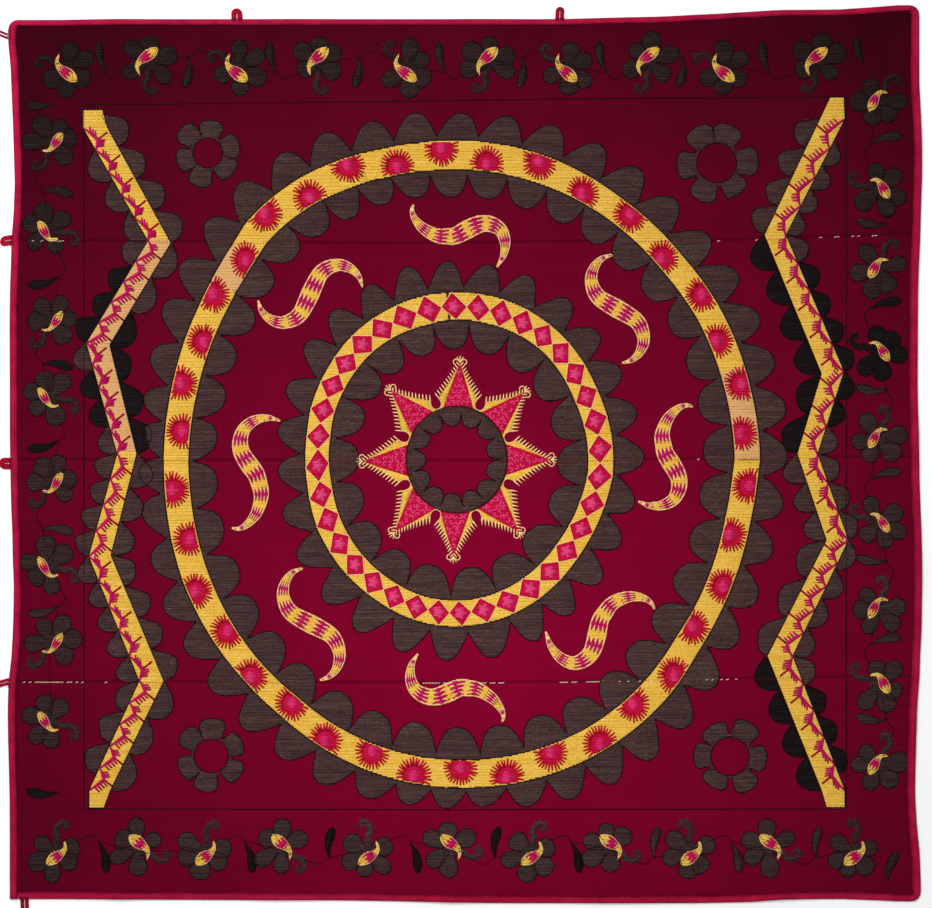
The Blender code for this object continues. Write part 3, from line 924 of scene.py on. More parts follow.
BIG = Oval(
    1.2, -2.4, 714.0, 775.0,
    ((0, 1), (15, -4), (33, -14), (49, -14), (61, -6), (74, -3), (89, 1), (92, -4), (100, -11),
     (118, -14), (126, -13), (136, -1), (144, 3), (154, 5), (180, 2), (198, 1), (208, -2), (218, -7),
     (228, -4), (239, 2), (249, 6), (265, 3), (283, 4), (300, 9), (308, 17), (312, 23), (316, 32),
     (321, 34), (329, 31), (339, 18), (344, 10), (352, 4)),
    ((0, 70), (15, 69), (33, 60), (60, 61), (90, 62), (118, 61), (136, 68), (175, 67), (198, 65), (228, 59),
     (249, 65), (270, 60), (300, 65), (316, 70), (334, 73), (344, 69)),
)
SMALL = Oval(
    -6.0, 8.4, 368.0, 401.0,
    ((0, 0), (45, 0), (65, -3), (81, 1), (95, 2), (107, -5), (117, -9), (127, -11), (138, -9),
     (152, -6), (167, -3), (181, 0), (195, 2), (215, 1), (230, 4), (246, 6), (260, 2), (279, 3),
     (288, 7), (318, 8), (337, 4), (352, 2)),
    ((0, 65), (13, 67), (40, 61), (90, 61), (117, 60), (150, 63), (190, 62), (220, 60), (246, 61), (272, 57),
     (290, 59), (310, 62), (330, 66), (345, 70)),
)
STAR = Oval(-12.5, 8.0, 120.5, 127.5, ((0, 0), (90, 0)), ((0, 9), (90, 9)))


def spaced(anchors, count):
    """The turns of so many motifs round a ring, evenly spread between a few (number, turn) anchors."""
    anchors = np.array(anchors, float)
    return np.interp(np.arange(count + 1), anchors[:, 0], anchors[:, 1])


def arc(oval, start, end, out, step=2.0):
    """Points along a ring, at a distance out that may be a function of the turn."""
    angles = np.linspace(start, end, max(2, int(abs(end - start) / step) + 1))
    outs = out(angles) if callable(out) else np.full(len(angles), out)
    return oval.at(angles, outs)


print("Round the big ring:", round(float(np.hypot(*np.diff(arc(BIG, 0, 360, 0.0), axis=0).T).sum())), "mm")

# %% [markdown]
# ## Petals
# A petal has one long slope and one steep side, like a small wave, because the drawer's hand always swept
# the same way round. One shape is stood on the chord between two turns of a ring, filled with level laid
# threads and outlined in chain stitch. It is drawn with a few points of its own, and each petal's height
# and lean vary a little. The petals inside a ring are rounder than those outside it.

# %% Petals of the rings
OUTER_PETAL = ((0.0, 0.0), (0.07, 0.22), (0.18, 0.52), (0.34, 0.85), (0.52, 1.0), (0.69, 0.97), (0.82, 0.80),
               (0.91, 0.50), (0.965, 0.20), (1.0, 0.0))
INNER_PETAL = ((0.0, 0.0), (0.06, 0.25), (0.15, 0.58), (0.30, 0.88), (0.49, 1.0), (0.68, 0.97), (0.83, 0.78),
               (0.92, 0.48), (0.97, 0.20), (1.0, 0.0))
CUSP_SHARE = 0.17
PETAL_OUTLINE = 3.5


def petal_line(shape, luck):
    """The outline of one petal from its plan, with its lean varied a little."""
    plan = np.array(shape)
    lean = luck.uniform(-0.035, 0.035)
    plan[1:-1, 0] += lean * np.sin(np.pi * plan[1:-1, 1] / 2)
    return curved(plan, 3)


def petal_row(work, oval, turns, root, heights, way, shape, yarn="brown"):
    """A row of petals round a ring. heights pairs a turn with a height. way is 1 outwards, -1 inwards."""
    heights = np.array(heights, float)
    for start, end in zip(turns, turns[1:]):
        tall = np.interp((start + end) / 2 % 360, heights[:, 0], heights[:, 1])
        tall *= work.luck.uniform(0.96, 1.04)
        feet = [oval.at(turn, root(turn) + way * CUSP_SHARE * tall) for turn in (start, end)]
        chord = feet[1] - feet[0]
        stand = np.array([-chord[1], chord[0]]) / np.hypot(*chord) * way
        line = petal_line(shape, work.luck)
        edge = feet[0] + chord * line[:, :1] + stand * (1 - CUSP_SHARE) * tall * line[:, 1:]
        base_turns = np.linspace(end, start, 4)
        base = oval.at(base_turns, root(base_turns) - way * 1.5)
        worn = 1.0 if work.luck.random() < 0.14 else work.luck.uniform(0.0, 0.4)
        work.fill([np.vstack((edge, base))], yarn, worn=worn)
        work.chain(edge, width=PETAL_OUTLINE)


def outer_edge(angle):
    """The outer edge of a band."""
    return np.zeros_like(np.asarray(angle, float))


BIG_OUTER = spaced(((0, 3.1), (5, 44.4), (11, 92.1), (17, 140.7), (22, 179.3), (24, 192.7), (29, 233.5),
                    (33, 264.8), (36, 283.8), (40, 315.0), (46, 363.1)), 46)
BIG_INNER = spaced(((0, 1.0), (4, 36.4), (8, 73.0), (10, 91.7), (16, 147.4), (24, 224.1), (29, 270.5),
                    (36, 330.0), (38, 344.9), (40, 361.0)), 40)
SMALL_OUTER = spaced(((0, 1.3), (9, 122.0), (12, 161.2), (13, 176.8), (18, 245.7), (20, 271.9), (24, 323.3),
                      (27, 361.3)), 27)
SMALL_INNER = spaced(((0, 4.6), (4, 81.7), (6, 120.3), (10, 205.2), (14, 278.8), (19, 364.6)), 19)
BIG_OUTER_TALL = ((0, 66), (20, 80), (80, 76), (95, 67), (120, 70), (132, 83), (155, 80), (168, 61),
                  (176, 47), (189, 53), (197, 66), (207, 80), (225, 80), (255, 62), (267, 58),
                  (274, 52), (281, 64), (300, 82), (315, 82), (340, 74), (360, 66))
BIG_INNER_TALL = ((0, 62), (45, 66), (90, 70), (130, 75), (180, 75), (230, 71), (270, 63), (300, 70),
                  (330, 71), (345, 60), (360, 62))
SMALL_OUTER_TALL = ((0, 77), (90, 73), (105, 67), (150, 84), (215, 88), (260, 71), (275, 68), (300, 78),
                    (360, 77))
SMALL_INNER_TALL = ((0, 68), (40, 72), (120, 67), (185, 71), (240, 61), (300, 71), (360, 68))

outer_petals = Stitching(11)
petal_row(outer_petals, BIG, BIG_OUTER, outer_edge, BIG_OUTER_TALL, 1, OUTER_PETAL)
outer_petals.piece("medallion_outer_petals")
inner_petals = Stitching(12)
petal_row(inner_petals, BIG, BIG_INNER, lambda a: -BIG.width(a), BIG_INNER_TALL, -1, INNER_PETAL)
petal_row(inner_petals, SMALL, SMALL_OUTER, outer_edge, SMALL_OUTER_TALL, 1, OUTER_PETAL)
inner_petals.piece("medallion_inner_petals")
rosette_petals = Stitching(13)
petal_row(rosette_petals, SMALL, SMALL_INNER, lambda a: -SMALL.width(a), SMALL_INNER_TALL, -1, INNER_PETAL)

# %% [markdown]
# ## The yellow rings
# The bands are laid in golden silk, and where that dye lot ran out the maker went on in a sandy one, so a
# band is filled in sections. The dark outlines on both edges are a little heavier than a petal's.

# %% Bands of the rings
def band_sections(work, oval, sections):
    """Fills a ring's band, section by section, each with its own silk."""
    for start, end, yarn in sections:
        outer = arc(oval, start, end, 0.0)
        inner = arc(oval, end, start, lambda a: -oval.width(a))
        work.fill([np.vstack((outer, inner))], yarn)


def band_outlines(work, oval, width=4.2):
    """The outlines along a band, a little heavier than a petal's."""
    work.chain(arc(oval, 0, 360, 1.2, 1.0), width=width, rise=1.5)
    work.chain(arc(oval, 0, 360, lambda a: -oval.width(a) - 1.2, 1.0), width=width, rise=1.5)


bands = Stitching(21)
BIG_SILKS = ((-20, 72.5, "yellow"), (72, 89.5, "sand"), (89, 304.5, "yellow"), (304, 312, "sand"),
             (311.5, 340, "yellow"))
band_sections(bands, BIG, BIG_SILKS)
band_sections(bands, SMALL, ((-5, 356, "yellow"),))
band_outlines(bands, BIG)
band_outlines(bands, SMALL, 3.8)
bands.piece("medallion_bands")

# %% [markdown]
# ## Suns
# Round the big ring sit suns that lean in turn on its inner and its outer edge and are cut off by it. Each
# is a crimson disc with a pink heart and a fringe of short tapering rays. They are worked out in the
# ring's own two numbers, so that a ray that would cross the edge is shortened to end on it.

# %% Suns on the big ring
SUN_FROM_EDGE, SUN_HEART, SUN_DISC, SUN_RAYS, RAY_COUNT = 18.0, 13.5, 27.0, 44.5, 30
SUN_TURNS = spaced(((0, 5.1), (5, 57.0), (8, 84.3), (17, 171.2), (20, 198.9), (27, 265.3), (28, 276.1),
                    (34, 328.1), (38, 365.1)), 38)[:-1]


def inside_band(along, across, centre_out, lowest):
    """Shortens a step from a sun's middle so that it stays inside the band."""
    share = 1.0
    if centre_out + across > -3.0:
        share = (-3.0 - centre_out) / across
    if centre_out + across < lowest:
        share = (lowest - centre_out) / across
    return along * share, across * share, share


def sun(work, oval, turn, near_outer):
    """One sun, cut off by the edge that it leans on."""
    width = float(oval.width(turn))
    centre_out = -SUN_FROM_EDGE if near_outer else -width + SUN_FROM_EDGE
    lowest, scale = -width + 3.0, oval.per_degree(turn)

    def spot(reach, bearing):
        """A point of the sun at a reach and bearing, kept inside the band."""
        bearing = math.radians(bearing)
        along, across = reach * math.sin(bearing), reach * math.cos(bearing)
        along, across, share = inside_band(along, across, centre_out, lowest)
        return oval.at(turn + along / scale, centre_out + across), share

    disc = [spot(SUN_DISC, bearing)[0] for bearing in range(0, 360, 12)]
    heart = [spot(SUN_HEART * work.luck.uniform(0.85, 1.15), bearing)[0] for bearing in range(0, 360, 24)]
    work.fill([disc], "crimson", SECOND_LAYER, pitch=3.2)
    work.fill([heart], "pink", THIRD_LAYER, pitch=3.0)
    for k in range(RAY_COUNT):
        bearing = 360 * (k + work.luck.uniform(-0.15, 0.15)) / RAY_COUNT
        tip, share = spot(SUN_RAYS * work.luck.uniform(0.93, 1.05), bearing)
        if share * SUN_RAYS > SUN_DISC + 3:
            work.straight(spot(SUN_DISC - 4, bearing)[0], tip, "red", 6.2, 0.6, 0.9, SECOND_LAYER)


suns = Stitching(31)
for number_of_sun, turn_of_sun in enumerate(SUN_TURNS):
    sun(suns, BIG, float(turn_of_sun), number_of_sun % 2 == 1)
suns.piece("medallion_suns")

# %% [markdown]
# ## Diamonds
# The small ring is a row of crimson diamonds that touch point to point, and the yellow between them is left
# as triangles. Each diamond has a pink five-lobed flower in it, and pale stitches edge every triangle.

# %% Diamonds on the small ring
DIAMOND_TURNS = spaced(((0, 3.0), (4, 41.5), (7, 70.5), (11, 112.2), (17, 175.2), (19, 193.0), (26, 261.9),
                        (27, 273.8), (33, 331.8), (36, 363.0)), 36)


def diamond(work, oval, before, after):
    """One diamond that touches both of its neighbours and both edges of the band."""
    turn = (before + after) / 2
    width = float(oval.width(turn))
    ring = np.array([oval.at(turn - 0.7, -1.0), oval.at(after, -0.52 * width),
                     oval.at(turn + 0.7, 1.0 - width), oval.at(before, -0.52 * width)])
    middle = ring.mean(axis=0)

    def shrunk(share):
        """The diamond's corners drawn in towards its middle."""
        return middle + (ring - middle) * share

    work.fill([shrunk(0.97)], "crimson", SECOND_LAYER, pitch=3.4)
    for share, yarn, width_of_line in ((1.04, "edging", 2.4), (0.93, "red", 4.2)):
        corners = shrunk(share)
        for a, b in zip(corners, np.roll(corners, -1, axis=0)):
            work.chain(np.vstack((a, b)), yarn, width_of_line, rise=0.9, base=SECOND_LAYER)
    angles = np.radians(np.arange(0, 360, 9) + work.luck.uniform(0, 60))
    reach = 12.5 + 3.2 * np.cos(5 * angles) * work.luck.uniform(0.8, 1.1)
    flower = middle + np.column_stack((np.cos(angles) * reach, np.sin(angles) * reach))
    work.fill([flower], "orchid", THIRD_LAYER, pitch=3.0)


diamonds = Stitching(41)
for before_diamond, after_diamond in zip(DIAMOND_TURNS, DIAMOND_TURNS[1:]):
    diamond(diamonds, SMALL, float(before_diamond), float(after_diamond))
diamonds.piece("rosette_diamonds")

# %% [markdown]
# ## The eight-pointed star
# In the middle a brown ring with lobes on its inside carries eight points. Each point is a mottled pink
# triangle with a yellow flank on either side, whose outer edge is cut into comb teeth, and a little pair of
# ram's horns at its tip. Ground cloth shows as a round notch between one point and the next.

# %% Star
STAR_TURNS = (2.0, 46.0, 90.0, 138.5, 182.0, 221.5, 269.0, 315.5, 362.0)
POINT_REACH, POINT_HALF, TEETH = 105.0, 17.0, 12
NOTCH_RIM = ((0.0, 2.6), (-2.4, 3.6), (-4.4, 8.0), (-5.2, 14.0), (-5.0, 21.0), (-4.2, 28.0))
CURL_ROWS = ((9, 5), (23, 4), (37, 3), (51, 2), (66, 1), (80, 1))


def lobed_ring(work):
    """The brown ring with thirteen lobes on its inside."""
    turns = spaced(((0, 6.0), (13, 366.0)), 13)
    petal_row(work, STAR, turns, lambda a: -STAR.width(a), ((0, 34), (360, 34)), -1, INNER_PETAL)
    outer = arc(STAR, 0, 360, 0.0, 6.0)
    inner = arc(STAR, 360, 0, -STAR.width(0.0) - 1.0, 6.0)
    work.fill([np.vstack((outer, inner))], "brown")
    work.chain(arc(STAR, 0, 360, 1.0, 3.0), width=3.8, rise=1.5)


def ram_horns(work, tip, ahead, side):
    """Three prongs and two curled horns at the tip of a point."""
    for lean, length in ((-0.55, 14.0), (0.0, 17.0), (0.55, 14.0)):
        work.straight(tip, tip + (ahead + side * lean) * length, "edging", 3.8, 0.7, 1.4)
    for way in (-1, 1):
        curl = ((1, 0), (7, 6), (8, 12), (3, 16), (-3, 14), (-4, 10))
        path = [tip + ahead * forward + side * way * out for forward, out in curl]
        work.chain(curved(path, 3), "edging", 3.6, 4.0, rise=1.4)


def comb_flank(work, turn, way, notch_turn, ahead, side, tip):
    """The yellow flank on one side of a point, with its comb teeth and its half of the notch's rim."""
    rim = [STAR.at(notch_turn + way * off, out) for off, out in NOTCH_RIM]
    teeth_line = np.array([rim[-1] + (tip - rim[-1]) * share - side * way * 3.0 * math.sin(math.pi * share)
                           for share in np.linspace(0, 0.94, TEETH)])
    corner = STAR.at(turn + way * POINT_HALF, 0.0)
    under = STAR.at(notch_turn, 0.0)
    work.fill([np.vstack((corner[None], under[None], rim, teeth_line[1:], tip[None]))], "yellow", pitch=2.8)
    work.chain(curved(rim, 3), "edging", 2.8, 4.0, rise=1.4)
    for k, root in enumerate(teeth_line):
        lean = ahead * 0.76 + side * way * 0.65
        length = 14.5 - 5.5 * k / TEETH
        work.straight(root - lean * 2.5, root + lean * length, "edging", 4.4, 0.45, 1.3)
    edge = np.array([corner, tip])
    work.chain(edge, "red", 2.8, rise=1.1, base=0.2)


def star_point(work, turn, notch_before, notch_after):
    """One point of the star: a mottled triangle, two flanks, and horns."""
    base_turns = np.linspace(turn - POINT_HALF, turn + POINT_HALF, 7)
    base = STAR.at(base_turns, 1.0)
    tip = STAR.at(turn, POINT_REACH)
    root = STAR.at(turn, 0.0)
    ahead = (tip - root) / np.hypot(*(tip - root))
    side = np.array([ahead[1], -ahead[0]])
    comb_flank(work, turn, -1, notch_before, ahead, side, tip)
    comb_flank(work, turn, 1, notch_after, ahead, side, tip)
    work.fill([np.vstack((base, tip[None]))], "crimson", 0.2, pitch=3.2)
    for forward, count in CURL_ROWS:
        for k in range(count):
            across = (k - (count - 1) / 2) * 12.5 + work.luck.uniform(-1.5, 1.5)
            heart = root + ahead * forward + side * across
            spin = work.luck.uniform(0, 360)
            turns = np.radians(spin + np.arange(0, 300, 60))
            bow = heart + 4.6 * np.column_stack((np.cos(turns), np.sin(turns)))
            work.chain(curved(bow, 2), "orchid", 4.6, 5.0, rise=0.6, base=SECOND_LAYER)
    ram_horns(work, tip, ahead, side)


star = Stitching(51)
lobed_ring(star)
NOTCHES = [(a + b) / 2 for a, b in zip(STAR_TURNS, STAR_TURNS[1:])]
for number_of_point, turn_of_point in enumerate(STAR_TURNS[:-1]):
    notch_before = NOTCHES[number_of_point - 1] - (360 if number_of_point == 0 else 0)
    star_point(star, turn_of_point, notch_before, NOTCHES[number_of_point])
star.piece("rosette_star")
rosette_petals.piece("rosette_petals")

# %% [markdown]
# ## The S-shaped sprigs
# Between the rings lie eight sprigs like a lazy S, banded in gold and magenta. The bands meet in long teeth,
# a flame pattern that weavers use too, so each magenta band is laid over a golden sprig with both of its
# ends cut into teeth. One S form is placed by its two tips, and how far each half bows out is its own.

# %% Sprigs
S_FORM = ((-1.0, 0.0), (-0.966, 0.40), (-0.844, 0.77), (-0.64, 1.0), (-0.423, 0.97), (-0.248, 0.77),
          (-0.118, 0.40), (0.0, 0.0))
SPRIG_HALF_WIDTH, SPRIG_BANDS, BAND_HALF, FLAME_OUT, FLAME_IN = 22.0, 8, 11.5, 8.5, 8.5
SPRIG_COLUMNS = ("x0", "y0", "x1", "y1", "bow0", "bow1")
SPRIGS = (
    (-116, 620, 84, 470, 0.25, 0.61), (362, 499, 384, 240, 0.43, 0.43), (554, 135, 423, -92, 0.28, 0.54),
    (201, -405, 462, -351, 0.65, 0.31), (-106, -458, 96, -621, 0.54, 0.22),
    (-382, -253, -341, -521, 0.41, 0.41), (-436, 101, -552, -156, 0.50, 0.27), (-489, 390, -239, 422, 0.47, 0.47),
)


def sprig_frame(values):
    """Points along a sprig, the way across at each, and its half width there."""
    plan = dict(zip(SPRIG_COLUMNS, values))
    start, end = np.array([plan["x0"], plan["y0"]], float), np.array([plan["x1"], plan["y1"]], float)
    middle, half = (start + end) / 2, (end - start) / 2
    right = np.array([half[1], -half[0]])
    first = [middle + half * along + right * plan["bow0"] * bow for along, bow in S_FORM]
    second = [middle - half * along - right * plan["bow1"] * bow for along, bow in S_FORM[-2::-1]]
    path = resampled(curved(first + second, 5), 4.0)
    across = headings(path)[1]
    share = np.linspace(0, 1, len(path))
    wide = SPRIG_HALF_WIDTH * np.interp(share, (0, 0.08, 0.18, 0.34, 0.5, 0.66, 0.82, 0.92, 1),
                                        (0.05, 0.30, 0.56, 0.84, 1.0, 0.84, 0.56, 0.30, 0.05))
    return path, across, wide


def sprig(work, values):
    """One sprig: a golden S with magenta bands laid over it."""
    path, across, half = sprig_frame(values)
    length = 4.0 * (len(path) - 1)

    def spot(run, side):
        """A point at a run along the sprig, side from -1 to 1 across it."""
        at = np.clip(run / 4.0, 0, len(path) - 1.001)
        k, t = int(at), at - int(at)
        middle = path[k] * (1 - t) + path[k + 1] * t
        way = across[k] * (1 - t) + across[k + 1] * t
        return middle + way * side * (half[k] * (1 - t) + half[k + 1] * t)

    outline = np.vstack((path + across * half[:, None], (path - across * half[:, None])[::-1]))
    work.fill([outline], "yellow", pitch=3.2)
    sides = np.linspace(-1, 1, 9)
    teeth = np.where(np.arange(9) % 2 == 0, FLAME_IN, -FLAME_OUT)
    for band in range(SPRIG_BANDS):
        run = length * (band + 0.5) / SPRIG_BANDS
        edge = [spot(run - BAND_HALF + tooth, side) for tooth, side in zip(teeth, sides)]
        edge += [spot(run + BAND_HALF - tooth, side) for tooth, side in zip(teeth[::-1], sides[::-1])]
        work.fill([np.array(edge)], "magenta", SECOND_LAYER, pitch=3.0)
        for k in range(0, 9, 2):
            for way in (-1, 1):
                root = spot(run + way * (BAND_HALF + 2.0), sides[k] * 0.9)
                tip = spot(run + way * (BAND_HALF - FLAME_IN - 1.0), sides[k] * 0.93)
                work.straight(root, tip, "edging", 3.0, 0.3, 0.9, SECOND_LAYER)
    for way in (-0.98, 0.98):
        work.thread(path + across * half[:, None] * way, 1.1, 0.9, "edging", 0.1)


sprigs = Stitching(61)
for values_of_sprig in SPRIGS:
    sprig(sprigs, values_of_sprig)
sprigs.piece("field_sprigs")

# %% [markdown]
# ## The zigzag ribbons
# Down both sides of the field runs a golden ribbon that turns at every seam and halfway between. A magenta
# vine runs in it, out from one edge to a knee and back, with comb teeth on both of its flanks and a long
# tick at each knee. Each ribbon is kept as its two edges, so that anything on it is placed by a run along
# it and a share across it.

# %% Ribbons
RIBBONS = {
    "left": {
        "stem": ((-910, 847), (-910, 804), (-754, 533), (-902, 288), (-828, 22), (-896, -224),
                 (-775, -523), (-895, -785), (-895, -828)),
        "far": ((-862, 847), (-850, 804), (-698, 528), (-845, 283), (-780, 22), (-842, -221),
                (-715, -523), (-843, -785), (-859, -828)),
    },
    "right": {
        "stem": ((917, 878), (919, 825), (778, 547), (917, 220), (854, 22), (928, -185), (794, -463),
                 (919, -785), (919, -826)),
        "far": ((883, 878), (858, 825), (725, 547), (862, 214), (804, 22), (874, -185), (732, -463),
                (862, -785), (874, -826)),
    },
}
COMB_COUNTS = {"left": (5, 5, 5, 4, 5, 5), "right": (5, 5, 3, 3, 5, 4)}
COMB_PLANS = {
    "sloping first": {"knee": 0.34, "fore": (0.50, 0.68, 0.86), "fore way": (-0.08, 1.0),
                      "back": (0.08, 0.27, 0.46, 0.65), "back way": (0.99, 0.10), "tick way": (0.78, 0.62)},
    "upright first": {"knee": 0.46, "fore": (0.36, 0.56, 0.76), "fore way": (1.0, 0.0),
                      "back": (0.12, 0.30, 0.48, 0.66), "back way": (0.68, -0.73), "tick way": (0.78, -0.62)},
}
VINE_PLAN = ((0.0, 0.06, 2.2), (0.13, 0.36, 2.8), (0.33, 0.72, 4.2), (0.52, 1.0, 5.0), (0.70, 0.68, 4.2),
             (0.90, 0.26, 2.8), (1.0, 0.06, 2.2))
TOOTH_LONG, TOOTH_THICK, TICK_LONG, TICK_THICK = 17.5, 5.8, 29.0, 5.6


class Ribbon:
    """A ribbon between a stem edge and a far edge."""

    def __init__(self, stem, far):
        self.stem, self.far = np.array(stem, float), np.array(far, float)
        middle = (self.stem + self.far) / 2
        self.runs = np.concatenate(([0.0], np.cumsum(np.hypot(*np.diff(middle, axis=0).T))))

    def at(self, run, share):
        """The point at a run along the ribbon and a share of the way from stem to far edge."""
        stem = np.array([np.interp(run, self.runs, self.stem[:, k]) for k in (0, 1)])
        far = np.array([np.interp(run, self.runs, self.far[:, k]) for k in (0, 1)])
        return stem + (far - stem) * share


def ribbon_body(work, ribbon, sand_between):
    """The laid band with its outline. Between two heights it is worked in sand."""
    high, low = sand_between
    runs = np.arange(0, ribbon.runs[-1], 10.0)
    ys = np.array([ribbon.at(run, 0.5)[1] for run in runs])
    cuts = [0.0, runs[ys > high][-1], runs[ys > low][-1], ribbon.runs[-1]]
    for start, end, yarn in zip(cuts, cuts[1:], ("yellow", "sand", "yellow")):
        inner = ribbon.runs[(ribbon.runs > start) & (ribbon.runs < end)]
        spots = np.concatenate(([start], inner, [end]))
        loop = [ribbon.at(run, 0.0) for run in spots] + [ribbon.at(run, 1.0) for run in spots[::-1]]
        work.fill([np.array(loop)], yarn)
    loop = np.vstack((ribbon.stem, ribbon.far[::-1]))
    work.chain(loop, width=4.2, closed=True)


def comb_unit(work, ribbon, plan, start, length, hand):
    """One length of the vine, out to a knee and back, with teeth on both flanks and a tick at the knee."""
    points = [ribbon.at(start + along * length, plan["knee"] * out) for along, out, _ in VINE_PLAN]
    work.thread(points, [half for _, _, half in VINE_PLAN], 0.9, "magenta", SECOND_LAYER)
    foot, knee, end = points[0], points[3], points[-1]
    for flank, begin, finish in (("fore", foot, knee), ("back", knee, end)):
        way = np.array(plan[flank + " way"]) * hand
        for share in plan[flank]:
            root = begin + (finish - begin) * share
            tip = root + way * TOOTH_LONG * work.luck.uniform(0.9, 1.1)
            work.straight(root, tip, "magenta", TOOTH_THICK, 0.75, 0.9, SECOND_LAYER)
    way = np.array(plan["tick way"]) * hand
    work.straight(knee, knee + way * TICK_LONG, "tick", TICK_THICK, 0.9, 0.9, SECOND_LAYER)


def comb_vine(work, ribbon, side):
    """The whole vine. The right one is the left one turned half round, so it starts at its foot."""
    hand = 1 if side == "left" else -1
    if hand < 0:
        ribbon = Ribbon(ribbon.stem[::-1], ribbon.far[::-1])
    for leg, count in enumerate(COMB_COUNTS[side], start=1):
        ahead = ribbon.stem[leg + 1] - ribbon.stem[leg]
        plan = COMB_PLANS["sloping first" if ahead[0] * hand > 0 else "upright first"]
        length = (ribbon.runs[leg + 1] - ribbon.runs[leg]) / count
        for k in range(count):
            comb_unit(work, ribbon, plan, ribbon.runs[leg] + k * length, length, hand)


RIBBON_FORMS = {side: Ribbon(edges["stem"], edges["far"]) for side, edges in RIBBONS.items()}
ribbons = Stitching(71)
ribbon_body(ribbons, RIBBON_FORMS["left"], (533, 22))
ribbon_body(ribbons, RIBBON_FORMS["right"], (-999, -999))
for side_of_ribbon, form in RIBBON_FORMS.items():
    comb_vine(ribbons, form, side_of_ribbon)
ribbons.piece("side_ribbons")

# %% [markdown]
# ## Petals along the ribbons
# Petals of the same kind hang along both edges of the ribbons, two to five to a straight stretch.
# Most are brown, and a few stretches are black, where another hand or another season took over.

# %% Ribbon petals
LEANING_PETAL = ((0.0, 0.0), (0.16, 0.36), (0.32, 0.78), (0.50, 1.0), (0.68, 0.94), (0.86, 0.72),
                 (0.97, 0.48), (1.0, 0.22), (0.98, 0.0))
BAGGY_PETAL = ((0.0, 0.0), (0.10, 0.34), (0.24, 0.70), (0.42, 0.97), (0.60, 1.0), (0.78, 0.84),
               (0.90, 0.54), (0.97, 0.24), (0.98, 0.0))
RIBBON_PETAL_CUSP = 4.0
RIBBON_PETALS = {
    "left stem": {"counts": (3, 4, 4, 4, 5, 3), "tall": 43, "black": ((480, 295), (185, 46)),
                  "bare": (61, 42)},
    "left far": {"counts": (4, 3, 3, 3, 4, 3), "tall": 46, "black": ((341, 24),), "bare": (-36, 0)},
    "right stem": {"counts": (4, 5, 3, 3, 4, 4), "tall": 37, "black": ((480, 60), (-540, -800)),
                   "bare": (61, 42)},
    "right far": {"counts": (4, 4, 2, 3, 3, 4), "tall": 48, "black": ((550, 60), (-490, -811)),
                  "bare": (0, 0)},
}


def edge_petals(work, line, away, plan):
    """Petals along one edge of a ribbon, on the side away from its middle. All of them hang downwards."""
    for number_of_leg, count in enumerate(plan["counts"], start=1):
        start, end = line[number_of_leg], line[number_of_leg + 1]
        ahead = (end - start) / np.hypot(*(end - start))
        start = start + ahead * (plan["bare"][0] if number_of_leg == 1 else 0)
        end = end - ahead * (plan["bare"][1] if number_of_leg == len(plan["counts"]) else 0)
        length = np.hypot(*(end - start))
        side = np.array([-ahead[1], ahead[0]])
        side = side if np.dot(side, away) > 0 else -side
        for k in range(count):
            shape = petal_line(LEANING_PETAL if side[1] > 0 else BAGGY_PETAL, work.luck)
            tall = plan["tall"] * work.luck.uniform(0.88, 1.1)
            run = (k + shape[:, 0]) / count * length
            rise = RIBBON_PETAL_CUSP + (tall - RIBBON_PETAL_CUSP) * shape[:, 1]
            edge = start + ahead * run[:, None] + side * rise[:, None]
            base = start + ahead * np.array([(k + 1) / count, k / count])[:, None] * length - side * 1.5
            black = any(high > edge[:, 1].mean() > low for high, low in plan["black"])
            worn = 1.0 if work.luck.random() < 0.12 else work.luck.uniform(0, 0.3)
            work.fill([np.vstack((edge, base))], "black" if black else "brown", worn=worn)
            work.chain(edge, width=PETAL_OUTLINE)


ribbon_petals = Stitching(81)
for side_name, form in RIBBON_FORMS.items():
    out = np.array([-1.0, 0.0]) if side_name == "left" else np.array([1.0, 0.0])
    edge_petals(ribbon_petals, form.stem, out, RIBBON_PETALS[side_name + " stem"])
    edge_petals(ribbon_petals, form.far, -out, RIBBON_PETALS[side_name + " far"])
ribbon_petals.piece("ribbon_petals")

# %% [markdown]
# ## Corner rosettes
# Four plain rosettes fill the corners of the field. Their middles are left as bare ground, ringed with
# chain stitch, and each has six petals of uneven size.

# %% Rosettes
ROSETTE_COLUMNS = ("x", "y", "hole", "reach", "turn")
ROSETTES = ((-610, 744, 36, 84, 12), (611, 720, 48, 99, 24), (-602, -703, 41, 87, 6),
            (643, -704, 46, 92, 30))


def lobe(work, centre, turn, inner, outer, half, root, yarn="brown", width=PETAL_OUTLINE, worn=0.2):
    """One round petal that stands out from a middle. root is the share of its width left at its foot."""
    ahead, side = facing(turn)
    flank = ((0.0, root), (0.28, 0.4 + 0.6 * root), (0.60, 1.0), (0.88, 0.76), (1.0, 0.0))
    plan = [(out, -across) for out, across in flank] + [(out, across) for out, across in flank[-2::-1]]
    line = curved([centre + ahead * (inner + (outer - inner) * out) + side * half * across
                   for out, across in plan], 3)
    work.fill([line], yarn, worn=worn)
    work.chain(line, width=width)


def rosette(work, values):
    """Six petals round a bare middle."""
    plan = dict(zip(ROSETTE_COLUMNS, values))
    centre = np.array([plan["x"], plan["y"]], float)
    for k in range(6):
        turn = plan["turn"] + 60 * k + work.luck.uniform(-5, 5)
        reach = plan["reach"] * work.luck.uniform(0.92, 1.05)
        half = plan["reach"] * work.luck.uniform(0.31, 0.36)
        lobe(work, centre, turn, plan["hole"] + 2, reach, half, 0.80)
    ring = round_line(centre, plan["hole"], 12)
    wide = round_line(centre, plan["hole"] + 5, 12)
    work.fill([wide, ring[::-1]], "brown")
    work.chain(ring, width=3.4, closed=True)


